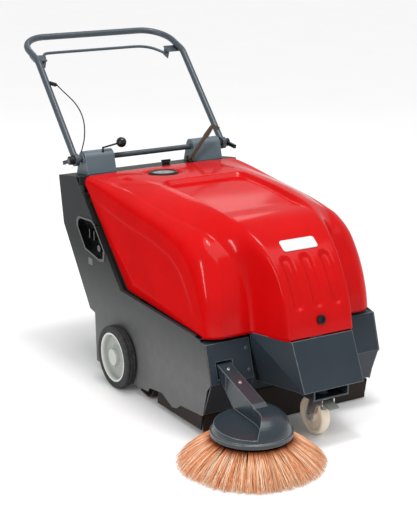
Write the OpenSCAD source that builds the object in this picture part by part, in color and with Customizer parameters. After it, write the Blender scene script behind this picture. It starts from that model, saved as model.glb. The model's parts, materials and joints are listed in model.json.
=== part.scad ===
// Walk-behind power brush sweeper, as an assembly of its real pieces.
// Millimetres, +Z up. The origin is on the floor, on the centre plane, below the rear axle.
// The machine drives towards -Y, so the operator's right-hand side is -X.

/* [Chassis] */
// Half width over the side panels
panel_x = 298; // [285:1:310]
// Thickness of the sheet steel
sheet = 3; // [2.5:0.5:4]
// Depth of the folded flanges along the hood opening
flange = 12; // [8:1:14]
// Height of the equipment shelf
shelf_z = 284; // [280:1:288]

/* [Wheels] */
// Rear wheel diameter
wheel_d = 200; // [190:2:200]
// Rear tyre width
tyre_w = 36; // [30:1:44]
// Thickness of the rear tyre's rubber
tyre_t = 22; // [18:1:30]
// Rear axle diameter
axle_d = 20; // [16:1:24]
// Caster wheel diameter
caster_d = 116; // [108:2:118]
// Caster wheel width
caster_w = 32; // [26:1:36]
// Distance from the swivel axis back to the caster axle
caster_trail = 30; // [24:1:32]
// Swivel axis, distance ahead of the rear axle
caster_y = -649; // [-655:1:-645]

/* [Handle] */
// Height of the pivot tube above the floor
pivot_z = 658; // [650:1:668]
// Diameter of the handle tube
tube_d = 22; // [18:1:25]
// Diameter of the pivot tube
pivot_d = 18; // [14:1:20]
// Half distance between the handle's side tubes
handle_x = 278; // [274:1:282]
// Length of the lower side tubes
handle_run = 395; // [340:5:430]
// Length of the grip part
grip_run = 165; // [150:5:190]
// Slope of the lower side tubes
handle_tilt = 46.8; // [40:0.2:55]
// Slope of the grip part
grip_tilt = 20; // [10:1:30]
// Radius of the grip's corners
grip_r = 93; // [70:1:110]
// Diameter of the drive bail's rod
bail_d = 10; // [8:1:12]

/* [Hood] */
// Half width of the hood
hood_x = 286; // [284:1:288]
// Wall of the hood
hood_wall = 4; // [3:0.5:5]
// Half width of the nose face
nose_a = 104; // [96:1:110]
// Half width where the nose meets the front
nose_b = 152; // [144:1:160]
// Depth of the three front grooves
groove_depth = 7; // [4:1:9]
// Depth of the sunken top panel
recess_depth = 10; // [6:1:12]
// Depth of the gauge dish
dish_depth = 9; // [6:1:11]

/* [Brushes] */
// Radius of the side brush at its tips
brush_r = 212; // [200:1:213]
// Radius of the cover's rim
cover_r = 115; // [110:1:120]
// Radius of the main roller at its tips
roller_r = 133; // [128:1:133]
// Radius of the roller's core
core_r = 72; // [66:1:80]
// Gap between brush tips and the floor
tip_gap = 3; // [2:0.5:6]

/* [Hidden] */
$fn = 48;
fit = 0.05;
gap = 0.3;
inner_x = panel_x - sheet;

axle_z = wheel_d / 2;
rim_d = wheel_d - 2 * tyre_t;
tyre_in = panel_x + 4;
tyre_out = tyre_in + tyre_w;

// Side panel outline, as Y and Z
panel_rear_top = [437, 595];
panel_fold_top = [311, 613];
panel_knee = [12, 309];
panel_front_top = [-438, 295];
panel_nose_top = [-497, 281];
panel_front_mid = [-530, 172];
panel_front_low = [-488, 67];

pivot_y = 348;
deck_front = [286, 616.4];
deck_rear = panel_rear_top;
deck_slope = atan2(deck_rear[1] - deck_front[1], deck_rear[0] - deck_front[0]);

roller_y = -325;
roller_z = roller_r + tip_gap;
housing_r = shelf_z - 0.5 - sheet - roller_z;

arm_pivot = [-243, -498, 212];
brush_axis = [-271, -704];

steel_grey = "#6f7274";
front_grey = "#3f4a54";
hood_red = "#d31416";

// Vector helpers
function unit(v) = v / norm(v);
function mix(a, b, t) = a * (1 - t) + b * t;
function clamp(v, lo, hi) = min(max(v, lo), hi);
function soft(t) = let (s = clamp(t, 0, 1)) s * s * (3 - 2 * s);
function quad_curve(a, b, c, t) = mix(mix(a, b, t), mix(b, c, t), t);
function cubic_curve(a, b, c, d, t) = mix(quad_curve(a, b, c, t), quad_curve(b, c, d, t), t);

// A sheet's section: a path thickened to its left-hand side with mitred corners
function left_of(v) = [-v[1], v[0]];
function miter(pts, i, t) =
    let (n = len(pts) - 1,
         a = left_of(unit(pts[max(i, 1)] - pts[max(i, 1) - 1])),
         b = left_of(unit(pts[min(i, n - 1) + 1] - pts[min(i, n - 1)])))
    (a + b) * t / (1 + a * b);
function strip(pts, t) =
    concat(pts, [for (i = [len(pts) - 1:-1:0]) pts[i] + miter(pts, i, t)]);
function arc(c, r, a0, a1, n) =
    [for (i = [0:n]) let (a = a0 + (a1 - a0) * i / n) c + r * [cos(a), sin(a)]];

// Extrudes a Y-Z outline along X, from x0 to x1
module slab(x0, x1) {
    translate([x0, 0, 0]) rotate([90, 0, 90]) linear_extrude(x1 - x0) children();
}
// A round bar along X
module bar_x(x0, x1, y, z, d) {
    translate([x0, y, z]) rotate([0, 90, 0]) cylinder(h = x1 - x0, d = d);
}
// A box given by its two corners
module box(a, b) {
    translate(a) cube(b - a);
}
// Everything above the deck's sloping face
module above_deck(lift = 0) {
    translate([-400, deck_front[0], deck_front[1] + lift]) rotate([deck_slope, 0, 0])
        translate([0, -300, 0]) cube([800, 600, 300]);
}

// A closed shell from a grid of outer points: the inner skin lies one wall below it
function grid_normal(g, i, j) =
    let (n = len(g) - 1, m = len(g[0]) - 1,
         u = g[min(i + 1, n)][j] - g[max(i - 1, 0)][j],
         v = g[i][min(j + 1, m)] - g[i][max(j - 1, 0)])
    unit(cross(u, v));
function shell_points(g, normals, wall) =
    [for (k = [0, 1], i = [0:len(g) - 1], j = [0:len(g[0]) - 1])
        g[i][j] - k * wall * normals[i][j]];
function shell_faces(rows, cols) =
    let (at = function (k, i, j) k * rows * cols + i * cols + j)
    concat(
        [for (k = [0, 1], i = [0:rows - 2], j = [0:cols - 2])
            let (q = [at(k, i, j), at(k, i + 1, j), at(k, i + 1, j + 1), at(k, i, j + 1)])
            each k == 0 ? [[q[2], q[1], q[0]], [q[3], q[2], q[0]]]
                : [[q[0], q[1], q[2]], [q[0], q[2], q[3]]]],
        [for (s = [0, 1], i = [0:rows - 2])
            let (j = s * (cols - 1), a = at(0, i, j), b = at(0, i + 1, j),
                 c = at(1, i + 1, j), d = at(1, i, j))
            each s == 0 ? [[a, b, c], [a, c, d]] : [[c, b, a], [d, c, a]]],
        [for (s = [0, 1], j = [0:cols - 2])
            let (i = s * (rows - 1), a = at(0, i, j), b = at(0, i, j + 1),
                 c = at(1, i, j + 1), d = at(1, i, j))
            each s == 0 ? [[c, b, a], [d, c, a]] : [[a, b, c], [a, c, d]]]);
module shell_mesh(g, wall) {
    normals = [for (i = [0:len(g) - 1]) [for (j = [0:len(g[0]) - 1]) grid_normal(g, i, j)]];
    polyhedron(shell_points(g, normals, wall), shell_faces(len(g), len(g[0])));
}

// Hood surface
// t runs from the rear edge, over the top, down to the lower front edge
hood_bend = 0.52;
hood_rear_y = 266;
function shoulder(t) = t < hood_bend
    ? quad_curve([hood_rear_y, 621], [-30, 616], [-334, 577], t / hood_bend)
    : cubic_curve([-334, 577], [-452, 556], [-498, 430], [-512, 303], (t - hood_bend) / (1 - hood_bend));
function crown(t) = t < hood_bend
    ? quad_curve([hood_rear_y, 623], [-10, 650], [-300, 620], t / hood_bend)
    : cubic_curve([-300, 620], [-500, 596], [-616, 505], [-645, 308], (t - hood_bend) / (1 - hood_bend));
function across(f, t) = let (d = 0.01, v = unit(f(min(t + d, 1)) - f(max(t - d, 0)))) [v[1], -v[0]];
function shoulder_out(t) = across(function (s) shoulder(s), t);
function crown_out(t) = across(function (s) crown(s), t);
// Width of the bevel between the side and the top
function bevel(t) = 16 + 46 * soft(t / 0.35) - 32 * soft((t - 0.5) / 0.45);
// Share of the raised middle at a distance x from the centre plane
function middle(x, t) =
    let (s = soft((t - 0.3) / 0.4))
    soft((mix(245, nose_b, s) - abs(x)) / mix(105, nose_b - nose_a, s));
groove_x = 66;
groove_w = 17;
function groove(x, t) =
    let (d = abs(abs(x) > groove_x / 2 ? abs(x) - groove_x : x) / groove_w)
    groove_depth * (1 - soft(d)) * soft((t - 0.77) / 0.03) * soft((0.935 - t) / 0.03);
recess_half = 130;
function top_recess(x, t) =
    recess_depth * soft((recess_half - 40 * t - abs(x)) / 16) * soft((t - 0.23) / 0.025)
        * soft((0.62 - t) / 0.14);
gauge_x = -62;
gauge_t = 0.105;
gauge_r = 58;
function dish(x, t) =
    let (y = crown(t)[0] - crown(gauge_t)[0], r = norm([x - gauge_x, y]))
    dish_depth * soft((gauge_r + 8 - r) / 12);
function hood_top(x, t) =
    let (edge = hood_x - bevel(t), w = middle(x, t), over = max(abs(x) - edge, 0),
         base = mix(shoulder(t), crown(t), w),
         out = mix(shoulder_out(t), crown_out(t), w),
         p = base - out * (over + groove(x, t) + top_recess(x, t) + dish(x, t)))
    [x, p[0], p[1]];
// The hood's lower side edge: down the slanted rear, then forward
hood_knee_t = 0.42;
hood_side_top = [268, 598];
hood_side_knee = [-18, 317];
hood_side_front = [-484, 297];
function hood_edge(t) = t < hood_knee_t
    ? mix(hood_side_top, hood_side_knee, t / hood_knee_t)
    : mix(hood_side_knee, hood_side_front, (t - hood_knee_t) / (1 - hood_knee_t));
hood_rows = concat([0, 0.02, 0.04], [for (i = [0:6]) 0.06 + 0.018 * i], [0.19, 0.215],
    [for (i = [0:2]) 0.23 + 0.0125 * i], [0.3, 0.36, 0.42, 0.47, 0.52, 0.57, 0.62, 0.66, 0.7, 0.74],
    [for (i = [0:6]) 0.76 + 0.025 * i], [0.94, 0.97, 1]);
// Distances from the centre plane of the columns on one half of the top
function half_columns(t) =
    let (s = soft((t - 0.3) / 0.4), b = mix(245, nose_b, s), a = mix(140, nose_a, s), e = hood_x - bevel(t))
    concat([for (k = [0, 1]) hood_x - k * bevel(t) / 2], [e],
        [mix(b, e, 0.5), b, mix(b, a, 0.33), mix(b, a, 0.67), a],
        [for (x = [83, 74, 66, 58, 49, 33, 17, 8]) x]);
function hood_row(t) =
    let (h = half_columns(t), e = hood_edge(t), s = hood_top(hood_x, t),
         wall_r = [for (k = [0, 0.5]) [-hood_x, mix(e[0], s[1], k), mix(e[1], s[2], k)]],
         wall_l = [for (k = [0.5, 0]) [hood_x, mix(e[0], s[1], k), mix(e[1], s[2], k)]])
    concat(wall_r, [for (x = h) hood_top(-x, t)], [hood_top(0, t)],
        [for (i = [len(h) - 1:-1:0]) hood_top(h[i], t)], wall_l);
lock_t = 0.965;
lock_at = [0, crown(lock_t)[0], crown(lock_t)[1]];
lock_out = crown_out(lock_t);
lock_lean = atan2(lock_out[1], -lock_out[0]);
lock_d = 15;
// Stands on the nose at the lock, with its Z axis pointing out of the hood
module at_lock() {
    translate(lock_at) rotate([90 - lock_lean, 0, 0]) children();
}
module hood_shell() {
    color(hood_red) resize([0, 0, 0]) difference() {
        shell_mesh([for (t = hood_rows) hood_row(t)], hood_wall);
        at_lock() cylinder(h = 60, d = lock_d + 2, center = true, $fn = 24);
    }
}

// Chassis
panel_outline = [panel_rear_top, panel_fold_top, panel_knee, panel_front_top, panel_nose_top,
    panel_front_mid, [-511, 152], panel_front_low, [-360, 55], [-336, 38], [-309, 33], [-249, 57],
    [-215, 53], [-168, 46], [-161, 32], [-28, 21], [186, 25], [192, 186], [227, 192], [409, 439]];
// Width of each runner that carries the dirt bin
rail_w = 45;
bin_half = inner_x - rail_w;
rail_z = 150;
filter_z = 500;
filter_y = [300, 412];
recess_outline = [[302, 470], [288, 484], [200, 490], [181, 481], [117, 411], [121, 380], [150, 373],
    [249, 389], [302, 452]];
recess_mid = [210, 432];
recess_in = 30;
function recess_scaled(k) = [for (p = recess_outline) recess_mid + (p - recess_mid) * k];
// The right-hand panel; the left-hand one is its mirror image without the recess
module side_panel() {
    slab(-panel_x, -inner_x) polygon(panel_outline);
    slab(-panel_x, flange - panel_x)
        polygon(strip([panel_fold_top, panel_knee, panel_front_top], sheet));
    box([-inner_x, -110, rail_z], [-bin_half + 8, 190, rail_z + sheet]);
    box([-inner_x, filter_y[0], filter_z - sheet], [-inner_x + 20, filter_y[1], filter_z]);
}
module axle_hole() {
    bar_x(-panel_x - 1, panel_x + 1, 0, axle_z, axle_d + 2 * fit);
}
module right_side_panel() {
    color(steel_grey) difference() {
        side_panel();
        axle_hole();
        slab(-panel_x - 1, flange - panel_x + 1) polygon(recess_outline);
    }
}
module left_side_panel() {
    color(steel_grey) difference() {
        mirror([1, 0, 0]) side_panel();
        axle_hole();
    }
}
tray_stud = [170, 405];
tray_stud_d = 22;
module recess_tray() {
    color("#141414") {
        difference() {
            union() {
                slab(-panel_x - 1.8, -panel_x - 0.1) polygon(recess_scaled(1.07));
                slab(-panel_x - 1, -panel_x + recess_in) polygon(recess_scaled(0.985));
            }
            slab(-panel_x - 3, -panel_x + recess_in - 2.5) polygon(recess_scaled(0.95));
        }
        for (y = [232, 200])
            translate([-panel_x + 8, y, 425]) cube([recess_in - 9, 5, 30]);
        bar_x(-panel_x + 8, -panel_x + recess_in - 1, tray_stud[0], tray_stud[1], tray_stud_d);
    }
}
deck_lip_z = 574;
deck_foot = [410, 444];
module rear_deck() {
    path = [[deck_front[0], deck_lip_z], deck_front, deck_rear, deck_foot];
    color(steel_grey) difference() {
        slab(-inner_x + 0.2, inner_x - 0.2) polygon(strip(path, -sheet));
        for (s = [0, 1]) mirror([s, 0, 0]) slab(-panel_x, flange - panel_x + gap) {
            polygon(strip([panel_fold_top, panel_knee], sheet + gap));
            polygon(strip([panel_fold_top, panel_knee], -gap));
        }
        translate([switch_at[0], switch_at[1], 550]) cylinder(h = 100, d = switch_d + 2 * fit);
    }
    color(steel_grey) flap_lug();
}
nose_lip_z = 163;
nose_rows = [
    [[151, -500, 299], [nose_a, -647, 303]],
    [[129, -506, 150], [nose_a - 2, -711, 168]],
    [[117, -512, 147], [nose_a - 10, -692, nose_lip_z]]];
module nose_panel() {
    color(front_grey) shell_mesh([for (r = nose_rows)
        [[-r[0][0], r[0][1], r[0][2]], [-r[1][0], r[1][1], r[1][2]], r[1], r[0]]], sheet);
}
front_path = [[-470, 284], panel_nose_top + [0, 2], panel_front_mid + [1, 0], panel_front_low + [0, 3]];
plate_in = 151.3;
module front_plate(x0, x1) {
    slab(x0, x1) polygon(strip(front_path, sheet));
}
arm_half = 22;
lug_gap = 5;
arm_pin_d = 10;
module right_front_plate() {
    color(front_grey) {
        difference() {
            front_plate(-inner_x + 0.2, -plate_in);
            translate([arm_pivot[0] - arm_half - lug_gap, -545, 184])
                cube([2 * (arm_half + lug_gap), 70, 48]);
        }
        for (s = [-1, 1]) {
            x = arm_pivot[0] + s * (arm_half + lug_gap + 3);
            slab(x - 2.5, x + 2.5)
                polygon([[-513, 226], [-520, 200], [-488, 200], [-486, 226]]);
        }
        bar_x(arm_pivot[0] - arm_half - lug_gap - 4, arm_pivot[0] + arm_half + lug_gap + 4,
            arm_pivot[1], arm_pivot[2], arm_pin_d);
    }
}
module left_front_plate() {
    color(front_grey) front_plate(plate_in, inner_x - 0.2);
}
pedestal_x = [150, 254];
lever_at = [-187, 332];
lever_d = 6;
module pedestal() {
    intersection() {
        slab(-pedestal_x[1], -pedestal_x[0]) {
            translate([pivot_y, pivot_z]) circle(r = 26);
            polygon([[pivot_y - 46, 590], [pivot_y + 48, 590], [pivot_y + 25, pivot_z + 7],
                [pivot_y - 25, pivot_z + 7]]);
        }
        above_deck(0.1);
    }
    bar_x(-pedestal_x[1] - 3, -pedestal_x[1] + 1, pivot_y, pivot_z, pivot_d + 12);
}
module pivot_hole() {
    bar_x(-panel_x, panel_x, pivot_y, pivot_z, pivot_d + 2 * fit);
}
module right_pedestal() {
    color(front_grey) difference() {
        pedestal();
        pivot_hole();
        translate([lever_at[0], lever_at[1], pivot_z]) cylinder(h = 60, d = lever_d + 2 * fit);
    }
}
module left_pedestal() {
    color(front_grey) difference() {
        mirror([1, 0, 0]) pedestal();
        pivot_hole();
    }
}
eye_w = 14;
module pivot_tube() {
    color(front_grey) difference() {
        bar_x(-handle_x - 26, handle_x + 26, pivot_y, pivot_z, pivot_d);
        bar_x(-handle_x - 12, handle_x + 12, pivot_y, pivot_z, pivot_d - 5);
    }
}
housing_x = [-inner_x + 0.3, 259];
housing_arc = arc([roller_y, roller_z], housing_r, 180, 90, 10);
housing_rear = -120;
housing_path = concat([[roller_y - housing_r, 62]], housing_arc, [[housing_rear, roller_z + housing_r]]);
ramp_path = [[-168, 62], [housing_rear - 2, rail_z]];
shaft_d = 20;
module brush_housing() {
    color("#4a4d50") difference() {
        union() {
            slab(housing_x[0], housing_x[1]) {
                polygon(strip(housing_path, sheet));
                polygon(strip(ramp_path, sheet));
            }
            for (x = [housing_x[0], housing_x[1] - sheet])
                slab(x, x + sheet) polygon(concat(housing_path,
                    [[housing_rear, rail_z], ramp_path[1], ramp_path[0]]));
        }
        bar_x(-panel_x, panel_x, roller_y, roller_z, shaft_d + 2 * fit);
    }
}
module front_flap() {
    y = roller_y - housing_r - sheet - 0.1;
    color("#2b2422") box([-288, y - 4, tip_gap], [288, y, 105]);
}
module rear_flap() {
    path = concat([[-176, 108], [-176, 46]], arc([-135, 46], 41, 189, 272, 7), [[-92, 11]]);
    color("#1c1a1a") slab(-286, 250) polygon(strip(path, 5));
}
module side_skirts() {
    outline = [[-222, 61], [-214, 14], [-470, 18], [-478, 61]];
    color("#3b2a26") for (s = [-1, 1])
        slab(s * (inner_x - 2.4) - 2, s * (inner_x - 2.4) + 2) polygon(outline);
}
shelf_y = [-455, 130];
motor_at = [20, shelf_z + sheet + 63];
pulley_x = [265, 277];
module equipment_shelf() {
    color(steel_grey) difference() {
        box([-inner_x + 0.2, shelf_y[0], shelf_z], [inner_x - 0.2, shelf_y[1], shelf_z + sheet]);
        box([pulley_x[0] - 4, -195, shelf_z - 1], [pulley_x[1] + 4, 30, shelf_z + sheet + 1]);
    }
}
battery = [180, 330, 205];
module batteries() {
    z = shelf_z + sheet + 0.1;
    color("#20242a") for (s = [-1, 1]) translate([s * (battery[0] / 2 + 4), -275, z]) {
        translate([-battery[0] / 2, -battery[1] / 2, 0]) cube(battery);
        for (y = [-1, 1]) translate([0, y * 120, battery[2]]) cylinder(h = 12, d = 18);
    }
}
motor_d = 110;
motor_shaft_d = 14;
module drive_motor() {
    color("#2e3338") difference() {
        union() {
            bar_x(70, 250, motor_at[0], motor_at[1], motor_d);
            bar_x(90, 110, motor_at[0], motor_at[1], motor_d + 6);
            box([90, motor_at[0] - 45, shelf_z + sheet + 0.1], [220, motor_at[0] + 45, motor_at[1] - 40]);
        }
        bar_x(228, 260, motor_at[0], motor_at[1], motor_shaft_d + 2 * fit);
    }
}
motor_pulley_r = 32;
roller_pulley_r = 42;
module motor_pulley() {
    color("silver") {
        bar_x(230, pulley_x[1], motor_at[0], motor_at[1], motor_shaft_d);
        bar_x(pulley_x[0], pulley_x[1], motor_at[0], motor_at[1], 2 * motor_pulley_r);
    }
}
// Outline of a belt over two pulleys, at a distance d from their rims
function belt_outline(d) =
    let (a = motor_at, b = [roller_y, roller_z], v = b - a, turn = atan2(v[1], v[0]),
         lean = acos((motor_pulley_r - roller_pulley_r) / norm(v)))
    concat(arc(a, motor_pulley_r + d, turn + lean, turn + 360 - lean, 16),
        arc(b, roller_pulley_r + d, turn - lean, turn + lean, 16));
module drive_belt() {
    color("#111111") difference() {
        slab(pulley_x[0] + 0.5, pulley_x[1] - 0.5) polygon(belt_outline(5.5));
        slab(pulley_x[0] - 1, pulley_x[1] + 1) polygon(belt_outline(0.6));
    }
}
module filter_element() {
    pleats = 24;
    w = inner_x - 1;
    step = 2 * (w - 12) / pleats;
    z = filter_z + 0.1;
    color("#d8d2bd") {
        difference() {
            box([-w, filter_y[0], z], [w, filter_y[1], z + 58]);
            box([-w + 10, filter_y[0] + 10, z + 44], [w - 10, filter_y[1] - 10, z + 60]);
        }
        for (i = [0:pleats - 1])
            box([-w + 12 + (i + 0.2) * step, filter_y[0] + 9, z + 43],
                [-w + 12 + (i + 0.6) * step, filter_y[1] - 9, z + 57]);
    }
}
fan_at = [-150, 20];
fan_z = shelf_z + sheet + 0.1;
module fan_housing() {
    color("#2c2f33") translate([fan_at[0], fan_at[1], fan_z]) difference() {
        union() {
            cylinder(h = 85, r = 92);
            translate([-92, 0, 0]) cube([70, 105, 85]);
        }
        translate([0, 0, 8]) cylinder(h = 69, r = 86);
        translate([0, 0, 70]) cylinder(h = 20, r = 42);
        translate([-86, 0, 8]) cube([58, 120, 69]);
        translate([0, 0, 2]) cylinder(h = 10, d = 10 + 2 * fit);
    }
}
module fan_rotor() {
    blades = 10;
    color("silver") translate([fan_at[0], fan_at[1], fan_z]) {
        translate([0, 0, 2.5]) cylinder(h = 20, d = 10);
        translate([0, 0, 12]) cylinder(h = 4, r = 78);
        translate([0, 0, 12]) cylinder(h = 30, r = 16);
        for (i = [0:blades - 1]) rotate(i * 360 / blades)
            translate([44, -1.5, 15]) rotate(-35) cube([36, 3, 40]);
    }
}
module rear_axle() {
    color("silver") bar_x(-tyre_out + 4, tyre_out - 4, 0, axle_z, axle_d);
}
module axle_bearings() {
    color("#55585c") for (s = [-1, 1]) difference() {
        bar_x(s * (inner_x - 8.1) - 8, s * (inner_x - 8.1) + 8, 0, axle_z, 52);
        bar_x(-panel_x, panel_x, 0, axle_z, axle_d + 2 * fit);
    }
}
arm_plate_z = 133;
kingpin_d = 12;
module caster_arm() {
    y0 = caster_y - 48;
    y1 = roller_y - housing_r - sheet - 0.2;
    color("#3a4046") difference() {
        union() {
            box([-60, y0, arm_plate_z], [60, y1, arm_plate_z + 4]);
            for (s = [-1, 1]) {
                box([s * 58 - 2, y0 + 10, arm_plate_z], [s * 58 + 2, y1, 159]);
                box([s * 58 - 2, y0, arm_plate_z], [s * 58 + 2, y0 + 11, nose_lip_z - 0.5]);
            }
            translate([0, caster_y, arm_plate_z]) cylinder(h = 12, r = 18);
        }
        translate([0, caster_y, arm_plate_z - 1]) cylinder(h = 30, d = kingpin_d + 2 * fit);
    }
}
hinge_x = 140;
hinge_at = [276, 612];
hinge_r = 5;
hinge_pin_d = 5;
module hinge_leaves() {
    color("silver") for (s = [-1, 1]) translate([s * hinge_x, 0, 0]) {
        slab(-14, -1) {
            translate(hinge_at) circle(r = hinge_r);
            polygon([[deck_front[0] - 0.1, 578], [deck_front[0] - 3, 578], [deck_front[0] - 3, 600],
                [hinge_at[0] - 3, hinge_at[1] - 3], [hinge_at[0] + 3, hinge_at[1] + 3],
                [deck_front[0] - 0.1, 606]]);
        }
        bar_x(-10, 13, hinge_at[0], hinge_at[1], hinge_pin_d);
    }
}
module hood_hinge_arms() {
    color("silver") for (s = [-1, 1]) translate([s * hinge_x, 0, 0]) difference() {
        slab(-0.7, 12.5) {
            translate(hinge_at) circle(r = hinge_r);
            polygon([[hinge_at[0], hinge_at[1] + 5.5], [262, hinge_at[1] + 6.4], [220, hinge_at[1] + 9.7],
                [220, hinge_at[1] + 5], [hinge_at[0], hinge_at[1] + 1]]);
        }
        bar_x(-2, 14, hinge_at[0], hinge_at[1], hinge_pin_d + 2 * fit);
    }
}
screw_d = 12;
module screw_head() {
    cylinder(h = 3, d1 = screw_d, d2 = screw_d - 3);
}
module chassis_screws() {
    face = unit(front_path[2] - front_path[1]);
    lean = atan2(-face[0], -face[1]);
    color("silver") for (s = [-1, 1], k = [0.25, 0.8]) {
        p = mix(front_path[1], front_path[2], k);
        translate([s * (plate_in + 14), p[0], p[1]]) rotate([90 - lean, 0, 0])
            translate([0, 0, 0.1]) screw_head();
    }
}
switch_at = [36, 312];
switch_d = 16;
switch_z = deck_front[1] + (switch_at[1] - deck_front[0]) * tan(deck_slope);
module switch_base() {
    color("silver") difference() {
        intersection() {
            translate([switch_at[0], switch_at[1], switch_z - 30]) cylinder(h = 36, d = switch_d + 10);
            above_deck(0.1);
        }
        translate([switch_at[0], switch_at[1], switch_z - 40]) cylinder(h = 60, d = switch_d + 2 * fit);
    }
}
module switch_key() {
    color("#111111") translate([switch_at[0], switch_at[1], switch_z]) {
        translate([0, 0, -14]) cylinder(h = 22, d = switch_d);
        translate([0, 0, 7]) cylinder(h = 7, d = 26);
        translate([-16, -4, 13]) cube([32, 8, 6]);
    }
}

// Hood fittings
gauge_at = crown(gauge_t) - crown_out(gauge_t) * dish_depth;
gauge_lean = -asin(crown_out(gauge_t)[0]);
// Height of the gauge's back over the dish's lowest point
gauge_seat = 4.4;
module at_gauge() {
    translate([gauge_x, gauge_at[0], gauge_at[1]]) rotate([gauge_lean, 0, 0])
        translate([0, 0, gauge_seat]) children();
}
bezel_r = 49;
lens_r = 40;
module gauge_bezel() {
    color("#101010") at_gauge() difference() {
        cylinder(h = 6, r1 = bezel_r, r2 = bezel_r - 3);
        translate([0, 0, -1]) cylinder(h = 12, r = lens_r + fit);
    }
}
module gauge_lens() {
    color("#eeeeee") at_gauge() cylinder(h = 4, r = lens_r);
}
badge_t = 0.738;
badge = [118, 40, 2];
module badge_plate() {
    p = crown(badge_t) + crown_out(badge_t) * 0.15;
    color("#d9dcde") translate([0, p[0], p[1]]) rotate([-asin(crown_out(badge_t)[0]), 0, 0])
        translate([-badge[0] / 2, -badge[1] / 2, 0]) cube(badge);
}
module hood_lock() {
    color("#151515") at_lock() {
        translate([0, 0, -34]) cylinder(h = 35, d = lock_d);
        difference() {
            translate([0, 0, 0.6]) cylinder(h = 6, d = 27);
            translate([0, 0, 3]) cylinder(h = 6, d = 17);
        }
        translate([-5, -48, -33]) cube([10, 50, 4]);
    }
}

// Wheels, turned about the X axis at the origin, outer face towards +Z before turning
module tyre() {
    r = wheel_d / 2;
    in = rim_d / 2;
    round_r = 9;
    rotate_extrude() difference() {
        polygon(concat([[in, 2], [in + 4, 0]], arc([r - round_r, round_r], round_r, -70, 0, 5),
            arc([r - round_r, tyre_w - round_r], round_r, 0, 70, 5), [[in + 4, tyre_w], [in, tyre_w - 2]]));
        for (k = [0.36, 0.64]) translate([r - 2.5, tyre_w * k - 1.5]) square([5, 3]);
    }
}
module rim() {
    r = rim_d / 2 - 0.05;
    face = tyre_w - 2;
    rotate_extrude() polygon([[axle_d / 2 + fit, 1], [24, 1], [26, 10], [r - 12, 10], [r - 4, 3], [r, 3],
        [r, face], [r - 5, face], [r - 12, 18], [40, 16], [28, 22], [26, face], [22, face + 1], [0, face + 1],
        [0, face - 1], [axle_d / 2 + fit, face - 1]]);
}
module at_wheel(side) {
    translate([side * tyre_in, 0, axle_z]) rotate([0, side * 90, 0]) children();
}
module right_tyre() { color("#26272a") at_wheel(-1) tyre(); }
module right_rim() { color("#b9bcb8") at_wheel(-1) rim(); }
module left_tyre() { color("#26272a") at_wheel(1) tyre(); }
module left_rim() { color("#b9bcb8") at_wheel(1) rim(); }

// Caster
caster_axle = [caster_y + caster_trail, caster_d / 2];
caster_axle_d = 12;
brake_pin = [caster_y - 26, 112];
brake_pin_d = 6;
fork_x = caster_w / 2 + 2;
module caster_fork() {
    color("#8d9296") {
        translate([0, caster_y, 121]) cylinder(h = 10, r = 27);
        translate([0, caster_y, 130]) cylinder(h = 11, d = kingpin_d);
        for (s = [-1, 1]) slab(s * (fork_x + 2) - 2, s * (fork_x + 2) + 2) {
            polygon([[caster_y - 34, 124], [caster_y - 34, 106], [caster_y - 12, 104], caster_axle + [-14, 0],
                caster_axle + [14, 0], [caster_y + 24, 124]]);
            translate(caster_axle) circle(r = 14);
        }
        bar_x(-fork_x - 7, fork_x + 7, caster_axle[0], caster_axle[1], caster_axle_d);
        bar_x(-fork_x - 2, fork_x + 2, brake_pin[0], brake_pin[1], brake_pin_d);
    }
}
module caster_wheel() {
    r = caster_d / 2;
    h = caster_w / 2;
    color("#e6dcc3") translate([0, caster_axle[0], caster_axle[1]]) rotate([0, 90, 0]) rotate_extrude()
        polygon([[caster_axle_d / 2 + fit, -h], [16, -h], [22, -h + 6], [r - 16, -h + 6], [r - 10, -h + 1],
            [r - 3, -h + 2], [r, -h + 7], [r, h - 7], [r - 3, h - 2], [r - 10, h - 1], [r - 16, h - 6],
            [22, h - 6], [16, h], [caster_axle_d / 2 + fit, h]]);
}
module caster_brake() {
    y = brake_pin[0];
    z = brake_pin[1];
    color("#7d867c") difference() {
        union() {
            bar_x(-fork_x + 0.5, fork_x - 0.5, y, z, 14);
            slab(-fork_x + 1, fork_x - 1) polygon([[y - 38, z - 8], [y - 38, z - 4], [y - 12, z + 3],
                [y, z + 7], [y + 6, z - 2], [y + 6, z - 18],
                [y - 2, z - 20], [y - 4, z - 5], [y - 12, z - 3]]);
        }
        bar_x(-fork_x - 1, fork_x + 1, y, z, brake_pin_d + 2 * fit);
    }
}

// Side brush
cover_z = 88;
cover_top = 158;
cover_wall = 4;
cover_curve = concat([[cover_r, cover_z], [cover_r, cover_z + 11], [cover_r - 5, cover_z + 13]],
    [for (i = [1:10]) cubic_curve([cover_r - 5, cover_z + 13], [cover_r - 10, 130], [86, cover_top],
        [50, cover_top], i / 10)], [[0, cover_top]]);
function below(path, t) = [for (i = [0:len(path) - 1]) path[i] + miter(path, i, t)];
arm_top = [[-500, 225], [-512, 224], [-692, 166], [-716, 152]];
arm_slope = atan2(arm_top[1][1] - arm_top[2][1], arm_top[1][0] - arm_top[2][0]);
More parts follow.
